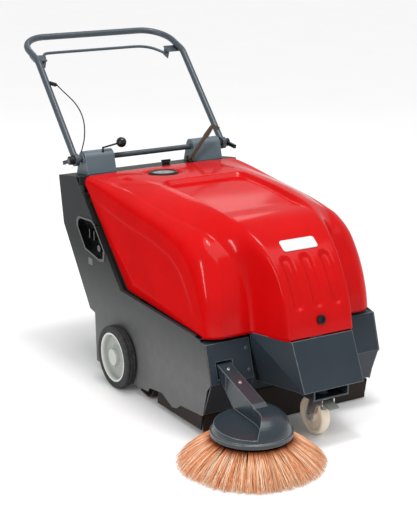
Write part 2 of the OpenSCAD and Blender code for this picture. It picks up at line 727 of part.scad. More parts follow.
// The sunk facet beside the arm: a floor that rises gently to the rear, and a wall that follows the
// arm's right-hand side and then curves across the front. grow thickens it on all sides.
facet_z = 117;
facet_rise = 3.5;
facet_reach = 150;
facet_step = 0.5;
module cover_facet(grow = 0) {
    u = arm_pivot[0] - arm_half - brush_axis[0] + facet_step + grow;
    wall = [for (i = [0:8]) quad_curve([u, 0], [u - 4, -64], [-46 + grow, -98 - grow], i / 8)];
    translate([brush_axis[0], brush_axis[1], facet_z - grow]) rotate([facet_rise, 0, 0])
        linear_extrude(facet_reach)
            polygon(concat([[u, facet_reach]], wall,
                [[-facet_reach, -facet_reach], [-facet_reach, facet_reach]]));
}
module brush_cover() {
    color("#47545e") difference() {
        union() {
            translate([brush_axis[0], brush_axis[1], 0]) rotate_extrude()
                polygon(concat([[0, cover_z]], cover_curve));
            slab(arm_pivot[0] - arm_half, arm_pivot[0] + arm_half) {
                polygon(concat(arm_top, [[-704, 130], [-600, 120], [-512, 198], [-498, 201]]));
                translate([arm_pivot[1], arm_pivot[2]]) circle(r = 11);
            }
        }
        cover_facet();
        difference() {
            translate([brush_axis[0], brush_axis[1], 0]) rotate_extrude()
                polygon(concat([[0, cover_z - 1], [cover_r - cover_wall, cover_z - 1]],
                    below(cover_curve, cover_wall)));
            cover_facet(cover_wall);
        }
        bar_x(-panel_x, 0, arm_pivot[1], arm_pivot[2], arm_pin_d + 2 * fit);
    }
}
module cover_screws() {
    color("silver") for (k = [0.14, 0.48]) {
        p = mix(arm_top[1], arm_top[2], k);
        translate([arm_pivot[0], p[0], p[1]]) rotate([arm_slope, 0, 0]) translate([0, 0, 0.1]) screw_head();
    }
}
gear_d = 76;
gear_z = 96;
can_at = [38, 4];
can_d = 42;
can_h = 42;
drive_d = 14;
module brush_gearmotor() {
    color("#2b2f33") translate([brush_axis[0], brush_axis[1], 0]) difference() {
        union() {
            translate([0, 0, gear_z]) cylinder(h = facet_z - cover_wall - 3 - gear_z, d = gear_d);
            translate([can_at[0], can_at[1], gear_z]) cylinder(h = can_h, d = can_d);
        }
        translate([0, 0, gear_z - 1]) cylinder(h = facet_z, d = drive_d + 2 * fit);
    }
}
disc_z = 63;
disc_r = 106;
module brush_disc() {
    color("#2a2c2e") translate([brush_axis[0], brush_axis[1], 0]) {
        translate([0, 0, disc_z]) cylinder(h = 12, r = disc_r);
        translate([0, 0, disc_z + 10]) cylinder(h = 20, d = 40);
        translate([0, 0, disc_z + 28]) cylinder(h = facet_z - cover_wall - 5 - disc_z - 28, d = drive_d);
    }
}

// Bristles: a revolved backing whose first cells each grow into one four-sided strand.
// ring is the backing's section as radius and height; tips holds one strand end per cell.
function turn_about(p, a) = [p[0] * cos(a), p[0] * sin(a), p[1]];
function strand_tip(tip, a, half) =
    [for (c = [[-1, -1], [1, -1], [1, 1], [-1, 1]])
        turn_about([tip[0], tip[1] + c[1] * half], a + c[0] * half * 180 / (PI * tip[0]))];
module bristles(ring, tips, n, half, sway) {
    m = len(ring);
    k = len(tips);
    base = [for (j = [0:n - 1], i = [0:m - 1]) turn_about(ring[i], j * 360 / n)];
    ends = [for (j = [0:n - 1], i = [0:k - 1])
        each strand_tip(tips[i], (j + 0.5 + sway * sin(137.5 * j + 71 * i)) * 360 / n, half)];
    faces = [for (j = [0:n - 1], i = [0:m - 1])
        let (j2 = (j + 1) % n, i2 = (i + 1) % m, e = n * m + 4 * (j * k + i),
             q = [j * m + i, j2 * m + i, j2 * m + i2, j * m + i2], f = [e, e + 1, e + 2, e + 3])
        each i < k
            ? concat([[f[2], f[1], f[0]], [f[3], f[2], f[0]]],
                [for (s = [0:3]) let (t = (s + 1) % 4) each [[q[t], q[s], f[s]], [q[t], f[s], f[t]]]])
            : [[q[2], q[1], q[0]], [q[3], q[2], q[0]]]];
    polyhedron(concat(base, ends), faces);
}
strand_rows = 4;
strands_round = 60;
module side_bristles() {
    z = disc_z - 0.2;
    r0 = 58;
    ring = concat([for (i = [0:strand_rows - 1]) [mix(r0, disc_r, i / (strand_rows - 1)), z - 7]],
        [[disc_r, z], [r0, z]]);
    tips = [for (i = [0:strand_rows - 1])
        [mix(brush_r * 0.62, brush_r, i / (strand_rows - 1)), tip_gap + 2 + 1.5 * i]];
    color("#d9a066") translate([brush_axis[0], brush_axis[1], 0])
        bristles(ring, tips, strands_round, 2, 0.22);
}

// Main roller
roller_ends = [-280, 246];
tufts_along = 8;
tufts_round = 14;
sleeve = 4;
module at_roller() {
    translate([0, roller_y, roller_z]) rotate([0, 90, 0]) children();
}
module roller_core() {
    color("#3a3d40") at_roller() {
        translate([0, 0, housing_x[0] + 0.4]) cylinder(h = pulley_x[1] - housing_x[0] - 0.4, d = shaft_d);
        translate([0, 0, roller_ends[0] - 4])
            cylinder(h = roller_ends[1] - roller_ends[0] + 8,
                r = (core_r - sleeve) * cos(180 / tufts_round) - gap);
        translate([0, 0, pulley_x[0]]) cylinder(h = pulley_x[1] - pulley_x[0], r = roller_pulley_r);
    }
}
module roller_bristles() {
    step = (roller_ends[1] - roller_ends[0]) / tufts_along;
    ring = concat([for (i = [0:tufts_along]) [core_r, roller_ends[0] + i * step]],
        [[core_r - sleeve, roller_ends[1]], [core_r - sleeve, roller_ends[0]]]);
    tips = [for (i = [0:tufts_along - 1]) [roller_r, roller_ends[0] + (i + 0.5) * step]];
    color("#33353a") at_roller() bristles(ring, tips, tufts_round, 9, 0);
}

// Handle
eye_d = 40;
bend_r = 70;
bend_cut = bend_r * tan((handle_tilt - grip_tilt) / 2);
// The bends are drawn a hair thinner than the straight runs, which lap over their ends
bend_d = tube_d - 0.1;
bend_lap = 1.5;
bar_half = handle_x - grip_r;
lower_dir = [cos(handle_tilt), sin(handle_tilt)];
knee = [pivot_y, pivot_z] + handle_run * lower_dir;
bend_at = knee - bend_cut * lower_dir + bend_r * [lower_dir[1], -lower_dir[0]];
module rod_y(y0, y1, d) {
    translate([0, y0, 0]) rotate([-90, 0, 0]) cylinder(h = y1 - y0, d = d);
}
module elbow(r, d, a0, a1) {
    rotate(a0) rotate_extrude(angle = a1 - a0) translate([r, 0]) circle(d = d);
}
// The grip's own frame: origin at the knee, Y along the grip
module at_grip() {
    translate([0, knee[0], knee[1]]) rotate([grip_tilt, 0, 0]) children();
}
module handle_side() {
    translate([-handle_x, pivot_y, pivot_z]) rotate([handle_tilt, 0, 0])
        rod_y(eye_d / 2 - 5, handle_run - bend_cut + bend_lap, tube_d);
    translate([-handle_x, bend_at[0], bend_at[1]]) rotate([90, 0, 90])
        elbow(bend_r, bend_d, grip_tilt + 90, handle_tilt + 90);
    at_grip() {
        translate([-handle_x, 0, 0]) rod_y(bend_cut - bend_lap, grip_run - grip_r + bend_lap, tube_d);
        translate([-handle_x + grip_r, grip_run - grip_r, 0]) elbow(grip_r, bend_d, 90, 180);
    }
    bar_x(-handle_x - eye_w / 2, -handle_x + eye_w / 2, pivot_y, pivot_z, eye_d);
}
module handle_tube() {
    color("#44525e") difference() {
        union() {
            handle_side();
            mirror([1, 0, 0]) handle_side();
            at_grip() bar_x(-bar_half - bend_lap, bar_half + bend_lap, grip_run, 0, tube_d);
        }
        pivot_hole();
    }
}
// Drive bail and its brackets, in the grip's frame
bail_pivot = [38, -28];
bail_bar = [81, -18];
ear_x = handle_x - 40;
bail_x = ear_x - 14;
module bail_brackets() {
    color("#5d6a75") at_grip() for (s = [-1, 1]) difference() {
        union() {
            translate([s * (handle_x - 20) - 24, 18, -tube_d / 2 - 4.2]) cube([48, 40, 4]);
            translate([s * ear_x - 2, 22, -42]) cube([4, 32, 42 - tube_d / 2 - 1]);
        }
        bar_x(-handle_x, handle_x, bail_pivot[0], bail_pivot[1], bail_d + 2 * fit);
    }
}
module bail() {
    run = bail_bar - bail_pivot;
    joint_r = bail_d / 2 + 0.05;
    color("#4c5964") at_grip() {
        bar_x(-bail_x, bail_x, bail_bar[0], bail_bar[1], bail_d);
        for (s = [-1, 1]) {
            bar_x(min(s * bail_x, s * (ear_x + 8)), max(s * bail_x, s * (ear_x + 8)),
                bail_pivot[0], bail_pivot[1], bail_d);
            translate([s * bail_x, bail_pivot[0], bail_pivot[1]]) {
                rotate([atan2(run[1], run[0]), 0, 0]) rod_y(0, norm(run), bail_d);
                sphere(r = joint_r);
            }
            translate([s * bail_x, bail_bar[0], bail_bar[1]]) sphere(r = joint_r);
        }
    }
}
// Clutch cable: a sleeve on the right side tube, and the cable down to the pedestal
stop_from = [-268.5, 552, 880];
stop_to = [-252, 528, 874];
cable_route = [[-252, 527, 873.5], [-251, 500, 864], [-250, 460, 852], [-250, 407, 836], [-251, 364, 815],
    [-253, 336, 790], [-256, 322, 762], [-259, 320, 730], [-263, 326, 702], [-264, 334, 686]];
cable_d = 4;
module rod_between(a, b, d) {
    v = b - a;
    translate(a) rotate([0, acos(v[2] / norm(v)), atan2(v[1], v[0])]) cylinder(h = norm(v), d = d);
}
module cable_stop() {
    tip = stop_from + (stop_to - stop_from) * 0.8;
    color("#1a1a1a") difference() {
        union() {
            rod_between(stop_from, tip, 13);
            rod_between(tip - (stop_to - stop_from) * 0.05, stop_to, 7);
        }
        translate([-handle_x, pivot_y, pivot_z]) rotate([handle_tilt, 0, 0])
            rod_y(0, handle_run, tube_d + 2 * gap);
    }
}
// A closed tube of n sides along a route
function route_dir(p, i) = unit(p[min(i + 1, len(p) - 1)] - p[max(i - 1, 0)]);
function ring_at(p, i, r, n) =
    let (d = route_dir(p, i), u = unit(cross(d, [1, 0.2, 0.1])), v = cross(d, u))
    [for (k = [0:n - 1]) p[i] + r * (u * cos(360 * k / n) + v * sin(360 * k / n))];
module tube_along(p, d, n) {
    m = len(p);
    points = [for (i = [0:m - 1]) each ring_at(p, i, d / 2, n)];
    sides = [for (i = [0:m - 2], k = [0:n - 1])
        let (a = i * n + k, b = i * n + (k + 1) % n) each [[a, b, b + n], [a, b + n, a + n]]];
    caps = [for (k = [1:n - 2]) each [[0, k + 1, k], [(m - 1) * n, (m - 1) * n + k, (m - 1) * n + k + 1]]];
    polyhedron(points, concat(sides, caps));
}
module clutch_cable() {
    color("#1a1a1a") tube_along(cable_route, cable_d, 8);
}
module clamp_lever(side, toward) {
    x0 = handle_x + eye_w / 2 + gap;
    translate([0, pivot_y, pivot_z]) difference() {
        union() {
            bar_x(min(side * x0, side * (x0 + 16)), max(side * x0, side * (x0 + 16)), 0, 0, pivot_d + 10);
            translate([side * (x0 + 9) - 4, 0, 0]) rotate([toward, 0, 0])
                translate([0, 0, -6]) cube([8, 58, 12]);
        }
        bar_x(-handle_x - 40, handle_x + 40, 0, 0, pivot_d + 2 * fit);
    }
}
module right_clamp() { color("#1b1d1f") clamp_lever(-1, -18); }
module left_clamp() { color("#1b1d1f") clamp_lever(1, 186); }

// Levers on the deck
ball_r = 17;
rod_turn = [lever_at[0], lever_at[1], 692];
ball_at = [-119, lever_at[1], 703];
module ball_lever_rod() {
    color("#2a2a2a") {
        translate([lever_at[0], lever_at[1], pivot_z + 1])
            cylinder(h = rod_turn[2] - pivot_z - 1, d = lever_d);
        translate(rod_turn) sphere(r = lever_d / 2 + 0.05);
        rod_between(rod_turn, ball_at, lever_d);
    }
}
module ball_knob() {
    color("#0d0d0d") difference() {
        translate(ball_at) sphere(r = ball_r);
        rod_between(rod_turn, ball_at + (ball_at - rod_turn) * 0.01, lever_d + 2 * fit);
    }
}
flap_pivot = [122, 628];
flap_y = [294, 300];
flap_pin_d = 8;
module flap_lever() {
    tip = [181, 700];
    turn = atan2(tip[1] - flap_pivot[1], tip[0] - flap_pivot[0]);
    color("#5a5140") translate([0, flap_y[1], 0]) rotate([90, 0, 0]) linear_extrude(flap_y[1] - flap_y[0])
        difference() {
            union() {
                translate(flap_pivot) circle(r = 9);
                translate(flap_pivot) rotate(turn) translate([0, -6]) square([norm(tip - flap_pivot), 12]);
                polygon([[173, 702], [188, 692], [210, 724], [232, 714], [236, 724], [206, 738]]);
            }
            translate(flap_pivot) circle(d = flap_pin_d + 2 * fit);
        }
}
module flap_lug() {
    translate([flap_pivot[0], 0, 0]) {
        box([-12, flap_y[1] + gap, 606], [12, flap_y[1] + gap + 5, flap_pivot[1] + 10]);
        translate([0, flap_y[0] - 1, flap_pivot[1]]) rod_y(0, flap_y[1] - flap_y[0] + 3, flap_pin_d);
    }
}

// Dirt bin, carried on the side panels' rails
bin_z = rail_z + sheet + gap;
bin_wall = 3;
bin_front = -112;
bin_low_rear = [205, bin_z];
bin_top_rear = [398, 431];
bin_roof = shelf_z - 6;
module hopper_bin() {
    along = unit(bin_top_rear - bin_low_rear);
    out = [along[1], -along[0]];
    mid = mix(bin_low_rear, bin_top_rear, 0.55);
    grip = mid + out * 36;
    color("#3d4347") {
        difference() {
            slab(-bin_half, bin_half) polygon([[bin_front, bin_z], bin_low_rear, bin_top_rear,
                [310, bin_top_rear[1]], [145, bin_roof], [bin_front, bin_roof]]);
            slab(-bin_half + bin_wall, bin_half - bin_wall) polygon([[bin_front + bin_wall, bin_z + bin_wall],
                bin_low_rear + [-1, bin_wall], bin_top_rear + [-bin_wall, 8], [300, bin_top_rear[1] + 8],
                [140, bin_roof + 8], [bin_front + bin_wall, bin_roof + 8]]);
            box([-bin_half + 6, bin_front - 1, bin_z + 18],
                [bin_half - 6, bin_front + bin_wall + 1, bin_roof + 8]);
        }
        bar_x(-76, 76, grip[0], grip[1], 16);
        for (s = [-1, 1]) slab(s * 68 - 6, s * 68 + 6)
            polygon([mid - along * 10 - out, mid + along * 10 - out, grip + along * 5, grip - along * 5]);
    }
}

right_side_panel();
left_side_panel();
rear_deck();
nose_panel();
right_front_plate();
left_front_plate();
right_pedestal();
left_pedestal();
pivot_tube();
recess_tray();
brush_housing();
front_flap();
rear_flap();
side_skirts();
equipment_shelf();
batteries();
drive_motor();
drive_belt();
filter_element();
fan_housing();
rear_axle();
axle_bearings();
caster_arm();
hinge_leaves();
chassis_screws();
switch_base();
hood_shell();
gauge_bezel();
gauge_lens();
badge_plate();
hood_hinge_arms();
hood_lock();
motor_pulley();
fan_rotor();
right_tyre();
right_rim();
left_tyre();
left_rim();
caster_fork();
caster_wheel();
caster_brake();
brush_cover();
cover_screws();
brush_gearmotor();
brush_disc();
side_bristles();
roller_core();
roller_bristles();
handle_tube();
bail_brackets();
cable_stop();
clutch_cable();
bail();
right_clamp();
left_clamp();
ball_lever_rod();
ball_knob();
flap_lever();
switch_key();
hopper_bin();
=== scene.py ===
"""Looks of a walk-behind power brush sweeper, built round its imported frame.

Lengths are in metres, apart from those of classes that say millimetres. The frame is the model's own:
Z is up, the machine sweeps towards -Y, and the operator stands at +Y. The hood, its badge plate and its
seal, the panel label, the bristles, the clutch cable, the drive bail and the dial are surfaces worked
out here. All the other pieces keep their own solids and get a finish.
"""

from __future__ import annotations

import json
import logging
import math
from abc import ABC, abstractmethod
from dataclasses import dataclass, field
from enum import Enum
from typing import Callable

import bpy
import numpy as np
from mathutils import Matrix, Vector

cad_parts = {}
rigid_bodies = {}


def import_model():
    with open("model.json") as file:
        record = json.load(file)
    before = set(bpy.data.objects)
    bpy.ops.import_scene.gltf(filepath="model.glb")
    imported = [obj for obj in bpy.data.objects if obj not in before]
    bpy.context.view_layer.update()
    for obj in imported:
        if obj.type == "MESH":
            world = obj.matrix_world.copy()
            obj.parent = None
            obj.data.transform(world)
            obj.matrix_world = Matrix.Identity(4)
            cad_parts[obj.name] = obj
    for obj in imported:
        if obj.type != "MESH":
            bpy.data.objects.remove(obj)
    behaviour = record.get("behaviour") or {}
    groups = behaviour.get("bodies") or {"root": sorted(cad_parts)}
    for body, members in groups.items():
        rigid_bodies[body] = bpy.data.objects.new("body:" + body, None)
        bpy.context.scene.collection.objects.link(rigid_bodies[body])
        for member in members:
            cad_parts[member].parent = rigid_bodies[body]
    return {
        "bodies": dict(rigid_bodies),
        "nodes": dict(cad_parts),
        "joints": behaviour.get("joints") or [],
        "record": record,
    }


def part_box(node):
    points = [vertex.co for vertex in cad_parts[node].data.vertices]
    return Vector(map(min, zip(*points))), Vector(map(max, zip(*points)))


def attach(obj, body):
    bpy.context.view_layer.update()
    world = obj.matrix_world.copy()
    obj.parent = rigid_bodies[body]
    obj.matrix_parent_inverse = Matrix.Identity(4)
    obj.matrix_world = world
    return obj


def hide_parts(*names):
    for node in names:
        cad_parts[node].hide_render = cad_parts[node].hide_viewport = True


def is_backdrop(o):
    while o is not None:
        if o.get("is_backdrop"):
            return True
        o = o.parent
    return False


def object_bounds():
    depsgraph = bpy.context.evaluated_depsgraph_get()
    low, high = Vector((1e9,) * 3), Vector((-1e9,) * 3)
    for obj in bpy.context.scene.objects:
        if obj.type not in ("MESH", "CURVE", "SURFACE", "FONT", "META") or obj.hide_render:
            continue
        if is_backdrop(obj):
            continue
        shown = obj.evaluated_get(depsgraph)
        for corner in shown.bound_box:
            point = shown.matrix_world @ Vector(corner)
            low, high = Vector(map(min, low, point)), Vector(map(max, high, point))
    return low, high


LOG = logging.getLogger("sweeper")
MM = 0.001
# Radius of the rear wheels, and so the height of their axle.
WHEEL_R = 0.1
Colour = tuple[float, float, float]
Point = tuple[float, float, float]
Span = tuple[float, float]
Outline = tuple[Span, ...]


def soft(value: np.ndarray | float) -> np.ndarray:
    """Smooth step from 0 to 1 as the value goes from 0 to 1: 3s^2 - 2s^3 on the clamped value."""
    s = np.clip(value, 0.0, 1.0)
    return s * s * (3.0 - 2.0 * s)


def rise(value: np.ndarray | float, start: float, length: float) -> np.ndarray:
    """Smooth step from 0 at the start to 1 a length further on."""
    return soft((value - start) / length)


def mix(a: np.ndarray | float, b: np.ndarray | float, t: np.ndarray | float) -> np.ndarray:
    """Straight blend from a to b."""
    return a * (1.0 - t) + b * t


def srgb(red: int, green: int, blue: int) -> Colour:
    """Linear colour of an 8-bit screen colour, by the sRGB curve.

    Args:
        red: Red from 0 to 255.
        green: Green from 0 to 255.
        blue: Blue from 0 to 255.

    Returns:
        The three linear parts.
    """
    parts = [c / 255.0 for c in (red, green, blue)]
    return tuple(c / 12.92 if c <= 0.04045 else ((c + 0.055) / 1.055) ** 2.4 for c in parts)


@dataclass(frozen=True)
class Value:
    """A number that changes over a surface, held as the socket that carries it."""

    graph: "Graph"
    socket: bpy.types.NodeSocket

    def __add__(self, other: "Value | float") -> "Value":
        """Sum."""
        return self.graph.maths("ADD", self, other)

    __radd__ = __add__

    def __sub__(self, other: "Value | float") -> "Value":
        """Difference."""
        return self.graph.maths("SUBTRACT", self, other)

    def __rsub__(self, other: float) -> "Value":
        """Difference, from a plain number."""
        return self.graph.maths("SUBTRACT", other, self)

    def __mul__(self, other: "Value | float") -> "Value":
        """Product."""
        return self.graph.maths("MULTIPLY", self, other)

    __rmul__ = __mul__

    def __truediv__(self, other: "Value | float") -> "Value":
        """Quotient."""
        return self.graph.maths("DIVIDE", self, other)

    def above(self, low: float, high: float) -> "Value":
        """Smooth step that is 0 below low and 1 above high.

        Args:
            low: Value at which the step starts.
            high: Value at which the step ends.

        Returns:
            The step.
        """
        settings = {"interpolation_type": "SMOOTHSTEP"}
        node = self.graph.node("ShaderNodeMapRange", settings, {0: self, 1: low, 2: high})
        return Value(self.graph, node.outputs[0])


class Graph:
    """One material's nodes, written as expressions."""

    def __init__(self, name: str) -> None:
        """Starts a material that holds only its surface shader.

        Args:
            name: The material's name.
        """
        self.material = bpy.data.materials.new(name)
        self.material.use_nodes = True
        self.tree = self.material.node_tree
        self.shader = self.tree.nodes["Principled BSDF"]

    def node(self, kind: str, settings: dict | None = None, inputs: dict | None = None) -> bpy.types.Node:
        """Adds a node.

        Args:
            kind: The node's type.
            settings: Attributes, set before the sockets. "stops" holds a ramp's (place, colour) pairs.
            inputs: Socket name or number to a plain value, a Value or a socket.

        Returns:
            The node.
        """
        made = self.tree.nodes.new(kind)
        for key, value in (settings or {}).items():
            if key == "stops":
                self._stops(made.color_ramp, value)
            else:
                setattr(made, key, value)
        for key, value in (inputs or {}).items():
            self.feed(made.inputs[key], value)
        return made

    @staticmethod
    def _stops(ramp: bpy.types.ColorRamp, stops: list[tuple[float, Colour]]) -> None:
        """Sets a ramp's stops.

        Args:
            ramp: The ramp, with two stops or more.
            stops: Each stop's place and colour.
        """
        while len(ramp.elements) < len(stops):
            ramp.elements.new(1.0)
        for element, (place, colour) in zip(ramp.elements, stops):
            element.position = place
            element.color = (*colour, 1.0)

    def feed(self, socket: bpy.types.NodeSocket, value: object) -> None:
        """Sets a socket to a plain value, or links it.

        Args:
            socket: The input.
            value: A number, a tuple, a Value or an output socket.
        """
        if isinstance(value, Value):
            self.tree.links.new(value.socket, socket)
        elif isinstance(value, bpy.types.NodeSocket):
            self.tree.links.new(value, socket)
        elif isinstance(value, tuple) and socket.type == "RGBA":
            socket.default_value = (*value[:3], 1.0)
        else:
            socket.default_value = value

    def maths(self, operation: str, *values: "Value | float") -> Value:
        """Adds one Math node.

        Args:
            operation: Name of the operation.
            values: Its values, in order.

        Returns:
            The result.
        """
        node = self.node("ShaderNodeMath", {"operation": operation}, dict(enumerate(values)))
        return Value(self, node.outputs[0])

    def place(self) -> bpy.types.NodeSocket:
        """Point on the surface in the object's own coordinates."""
        return self.node("ShaderNodeTexCoord").outputs["Object"]

    def facing(self) -> bpy.types.NodeSocket:
        """Direction that the surface faces, in the object's own coordinates."""
        return self.node("ShaderNodeTexCoord").outputs["Normal"]

    def part(self, vector: bpy.types.NodeSocket, axis: str) -> Value:
        """One coordinate of a vector, by its letter."""
        return Value(self, self.node("ShaderNodeSeparateXYZ", None, {0: vector}).outputs[axis])

    def stretched(self, vector: bpy.types.NodeSocket, scale: Point) -> bpy.types.NodeSocket:
        """A vector with each coordinate multiplied by its own number."""
        return self.node("ShaderNodeVectorMath", {"operation": "MULTIPLY"}, {0: vector, 1: scale}).outputs[0]

    def noise(self, scale: float, detail: float = 3.0, vector: bpy.types.NodeSocket | None = None) -> Value:
        """Cloudy noise about 0.5.

        Args:
            scale: Features per metre.
            detail: Number of finer layers.
            vector: Coordinates, the object's own where none are given.

        Returns:
            The noise.
        """
        inputs = {"Vector": vector or self.place(), "Scale": scale, "Detail": detail}
        return Value(self, self.node("ShaderNodeTexNoise", None, inputs).outputs["Fac"])

    def blend(self, factor: "Value | float", a: object, b: object) -> bpy.types.NodeSocket:
        """Colour that goes from a to b as the factor goes from 0 to 1; a Mix node's sockets go by number."""
        node = self.node("ShaderNodeMix", {"data_type": "RGBA"}, {0: factor, 6: a, 7: b})
        return node.outputs[2]

    def about_axle(self, axle_z: float) -> tuple[Value, Value]:
        """Distance from a wheel's axle and turn about it; the axle runs along X at Y 0.

        Args:
            axle_z: Height of the axle.

        Returns:
            The distance and the turn.
        """
        place = self.place()
        y = self.part(place, "Y")
        z = self.part(place, "Z") - axle_z
        return self.maths("SQRT", y * y + z * z), self.maths("ARCTAN2", z, y)

    def bump(self, height: Value, depth: float,
             normal: bpy.types.NodeSocket | None = None) -> bpy.types.NodeSocket:
        """Normal of a surface raised by a height map.

        Args:
            height: Height from 0 to 1.
            depth: Height of 1, in metres.
            normal: The normal that it starts from.

        Returns:
            The bumped normal.
        """
        inputs = {"Height": height, "Distance": depth, "Strength": 1.0}
        if normal is not None:
            inputs["Normal"] = normal
        return self.node("ShaderNodeBump", None, inputs).outputs[0]

    def rounded(self, radius: float, samples: int = 6) -> bpy.types.NodeSocket:
        """Normal with the sharp edges rounded to a radius."""
        return self.node("ShaderNodeBevel", {"samples": samples}, {"Radius": radius}).outputs[0]

    def edge(self, rounded: bpy.types.NodeSocket) -> Value:
        """Mask that is 0 on flat stretches and rises on rounded edges: 1 less the normals' dot product.

        Args:
            rounded: Normal with the edges rounded.

        Returns:
            The mask.
        """
        flat = self.node("ShaderNodeNewGeometry").outputs["Normal"]
        dot = self.node("ShaderNodeVectorMath", {"operation": "DOT_PRODUCT"}, {0: rounded, 1: flat})
        return 1.0 - Value(self, dot.outputs["Value"])

    def surface(self, **inputs: object) -> bpy.types.Material:
        """Sets the shader's sockets and gives the material.

        Args:
            inputs: Each socket's value, by its name with _ for a space.

        Returns:
            The finished material.
        """
        for name, value in inputs.items():
            self.feed(self.shader.inputs[name.replace("_", " ")], value)
        return self.material


@dataclass(frozen=True)
class Finish(ABC):
    """One finish of the sweeper, painted by its own nodes."""

    name: str

    def material(self) -> bpy.types.Material:
        """Builds the finish.

        Returns:
            The material.
        """
        g = Graph(self.name)
        return g.surface(**self.paint(g))

    @abstractmethod
    def paint(self, g: Graph) -> dict[str, object]:
        """Adds the finish's nodes.

        Args:
            g: The material's nodes.

        Returns:
            Each socket's value, by its name with _ for a space.
        """


@dataclass(frozen=True)
class Coat(Finish):
    """A solid-coloured finish: paint, plastic or rubber with blotches, fine grain, a low film, and chipped
    edges with painted highlights.

    Attributes:
        spread: How far the roughness wanders with the blotches.
        dull_sides: Share of the varnish that is rubbed off faces turned to the machine's sides.
        shade: How far the blotches darken and lighten the colour.
        grain: Grains per metre.
        depth: Height of the grain.
        painted_highlight_share: Share of the edge colour that is the same all along an edge, a painted
            highlight; the rest is patchy chipping.
        dust_and_light_z: Heights between which the low film thins out; the film is a dusting, and on the
            side panels also painted light from the bright floor.
    """

    colour: Colour
    roughness: float
    spread: float = 0.08
    varnish: float = 0.0
    varnish_rough: float = 0.12
    dull_sides: float = 0.0
    side_mask: Span = (0.6, 0.97)
    shine: float = 0.25
    shade: float = 0.12
    blotches: float = 9.0
    blotch_mask: Span = (0.3, 0.7)
    grain: float = 900.0
    grain_rough: float = 0.06
    depth: float = 0.00006
    edge_radius: float = 0.0012
    edge_mask: Span = (0.004, 0.08)
    worn_and_highlight: Colour | None = None
    wear_and_highlight: float = 0.35
    painted_highlight_share: float = 0.0
    chips: float = 70.0
    chip_mask: Span = (0.35, 0.65)
    dust_and_light_tint: Colour = (0.30, 0.29, 0.28)
    dust_and_painted_light: float = 0.0
    dust_and_light_z: Span = (0.0, 0.35)
    dust_clouds: float = 30.0
    dust_share: Span = (0.45, 0.2)

    def paint(self, g: Graph) -> dict[str, object]:
        """Blotched colour, then chipped edges with painted highlights, then the low film, a dusting that on
        the side panels is also painted light; the grain is in the roughness and the normal.

        Args:
            g: The material's nodes.

        Returns:
            The shader's sockets.
        """
        cloud = g.noise(self.blotches, detail=4.0)
        fine = g.noise(self.grain, detail=2.0)
        dark = tuple(c * (1.0 - self.shade) for c in self.colour)
        light = tuple(min(c * (1.0 + self.shade), 1.0) for c in self.colour)
        colour = g.blend(cloud.above(*self.blotch_mask), dark, light)
        normal = g.rounded(self.edge_radius)
        # Edge colour: patchy chipping, and a constant share that is a painted highlight along the edges.
        if self.worn_and_highlight is not None:
            patchy = g.noise(self.chips).above(*self.chip_mask) * (1.0 - self.painted_highlight_share) + self.painted_highlight_share
            edges = g.edge(normal).above(*self.edge_mask)
            colour = g.blend(edges * patchy * self.wear_and_highlight, colour, self.worn_and_highlight)
        # Low film, lighter or darker towards the bottom: a dusting, and on the side panels painted light
        # from the bright floor.
        if self.dust_and_painted_light > 0.0:
            low = 1.0 - g.part(g.place(), "Z").above(*self.dust_and_light_z)
            film, cloudy = self.dust_share
            film = film + g.noise(self.dust_clouds, detail=4.0) * cloudy
            colour = g.blend(low * film * self.dust_and_painted_light, colour, self.dust_and_light_tint)
        varnish = self.varnish
        if self.dull_sides > 0.0:
            aside = g.maths("ABSOLUTE", g.part(g.facing(), "X")).above(*self.side_mask)
            varnish = (1.0 - aside * self.dull_sides) * self.varnish
        rough = self.roughness - self.spread / 2 + cloud * self.spread
        return dict(
            Base_Color=colour,
            Roughness=rough + (fine - 0.5) * self.grain_rough,
            Specular_IOR_Level=self.shine,
            Coat_Weight=varnish,
            Coat_Roughness=self.varnish_rough,
            Normal=g.bump(fine, self.depth, normal),
        )


@dataclass(frozen=True)
class BareMetal(Finish):
    """Plated or cast metal with brushed streaks along one axis and dulled patches."""

    colour: Colour
    roughness: float
    streak: Point = (40.0, 900.0, 900.0)
    streak_rough: float = 0.16
    streak_depth: float = 0.00004
    tarnish: Colour = (0.22, 0.20, 0.17)
    tarnished: float = 0.55
    patches: float = 35.0
    patch_mask: Span = (0.5, 0.75)
    patch_rough: float = 0.12
    edge_radius: float = 0.0007

    def paint(self, g: Graph) -> dict[str, object]:
        """Noise stretched along the streaks roughens and scores the metal; patches of noise tarnish it.

        Args:
            g: The material's nodes.

        Returns:
            The shader's sockets.
        """
        streaks = g.noise(1.0, detail=2.0, vector=g.stretched(g.place(), self.streak))
        patches = g.noise(self.patches, detail=5.0).above(*self.patch_mask)
        normal = g.rounded(self.edge_radius)
        return dict(
            Base_Color=g.blend(patches * self.tarnished, self.colour, self.tarnish),
            Roughness=self.roughness + streaks * self.streak_rough + patches * self.patch_rough,
            Metallic=1.0,
            Normal=g.bump(streaks, self.streak_depth, normal),
        )


@dataclass(frozen=True)
class Strands(Finish):
    """Bristles whose colour runs between three tints from strand to strand, and is darker at the root."""

    root: Colour
    middle: Colour
    tip: Colour
    middle_at: float = 0.55
    shaded_to: float = 0.35
    shaded: float = 0.6
    roughness: float = 0.55
    spread: float = 0.2
    shine: float = 0.2

    def paint(self, g: Graph) -> dict[str, object]:
        """A ramp over the strands' "tint", shaded where their "along" is low.

        Args:
            g: The material's nodes.

        Returns:
            The shader's sockets.
        """
        attributes = ({"attribute_name": name} for name in ("tint", "along"))
        tint, along = (Value(g, g.node("ShaderNodeAttribute", a).outputs["Fac"]) for a in attributes)
        ramp = {"stops": [(0.0, self.root), (self.middle_at, self.middle), (1.0, self.tip)]}
        colour = g.node("ShaderNodeValToRGB", ramp, {0: tint}).outputs[0]
        dark = tuple(c * self.shaded for c in self.root)
        return dict(
            Base_Color=g.blend(along.above(0.0, self.shaded_to), dark, colour),
            Roughness=self.roughness + tint * self.spread,
            Specular_IOR_Level=self.shine,
        )


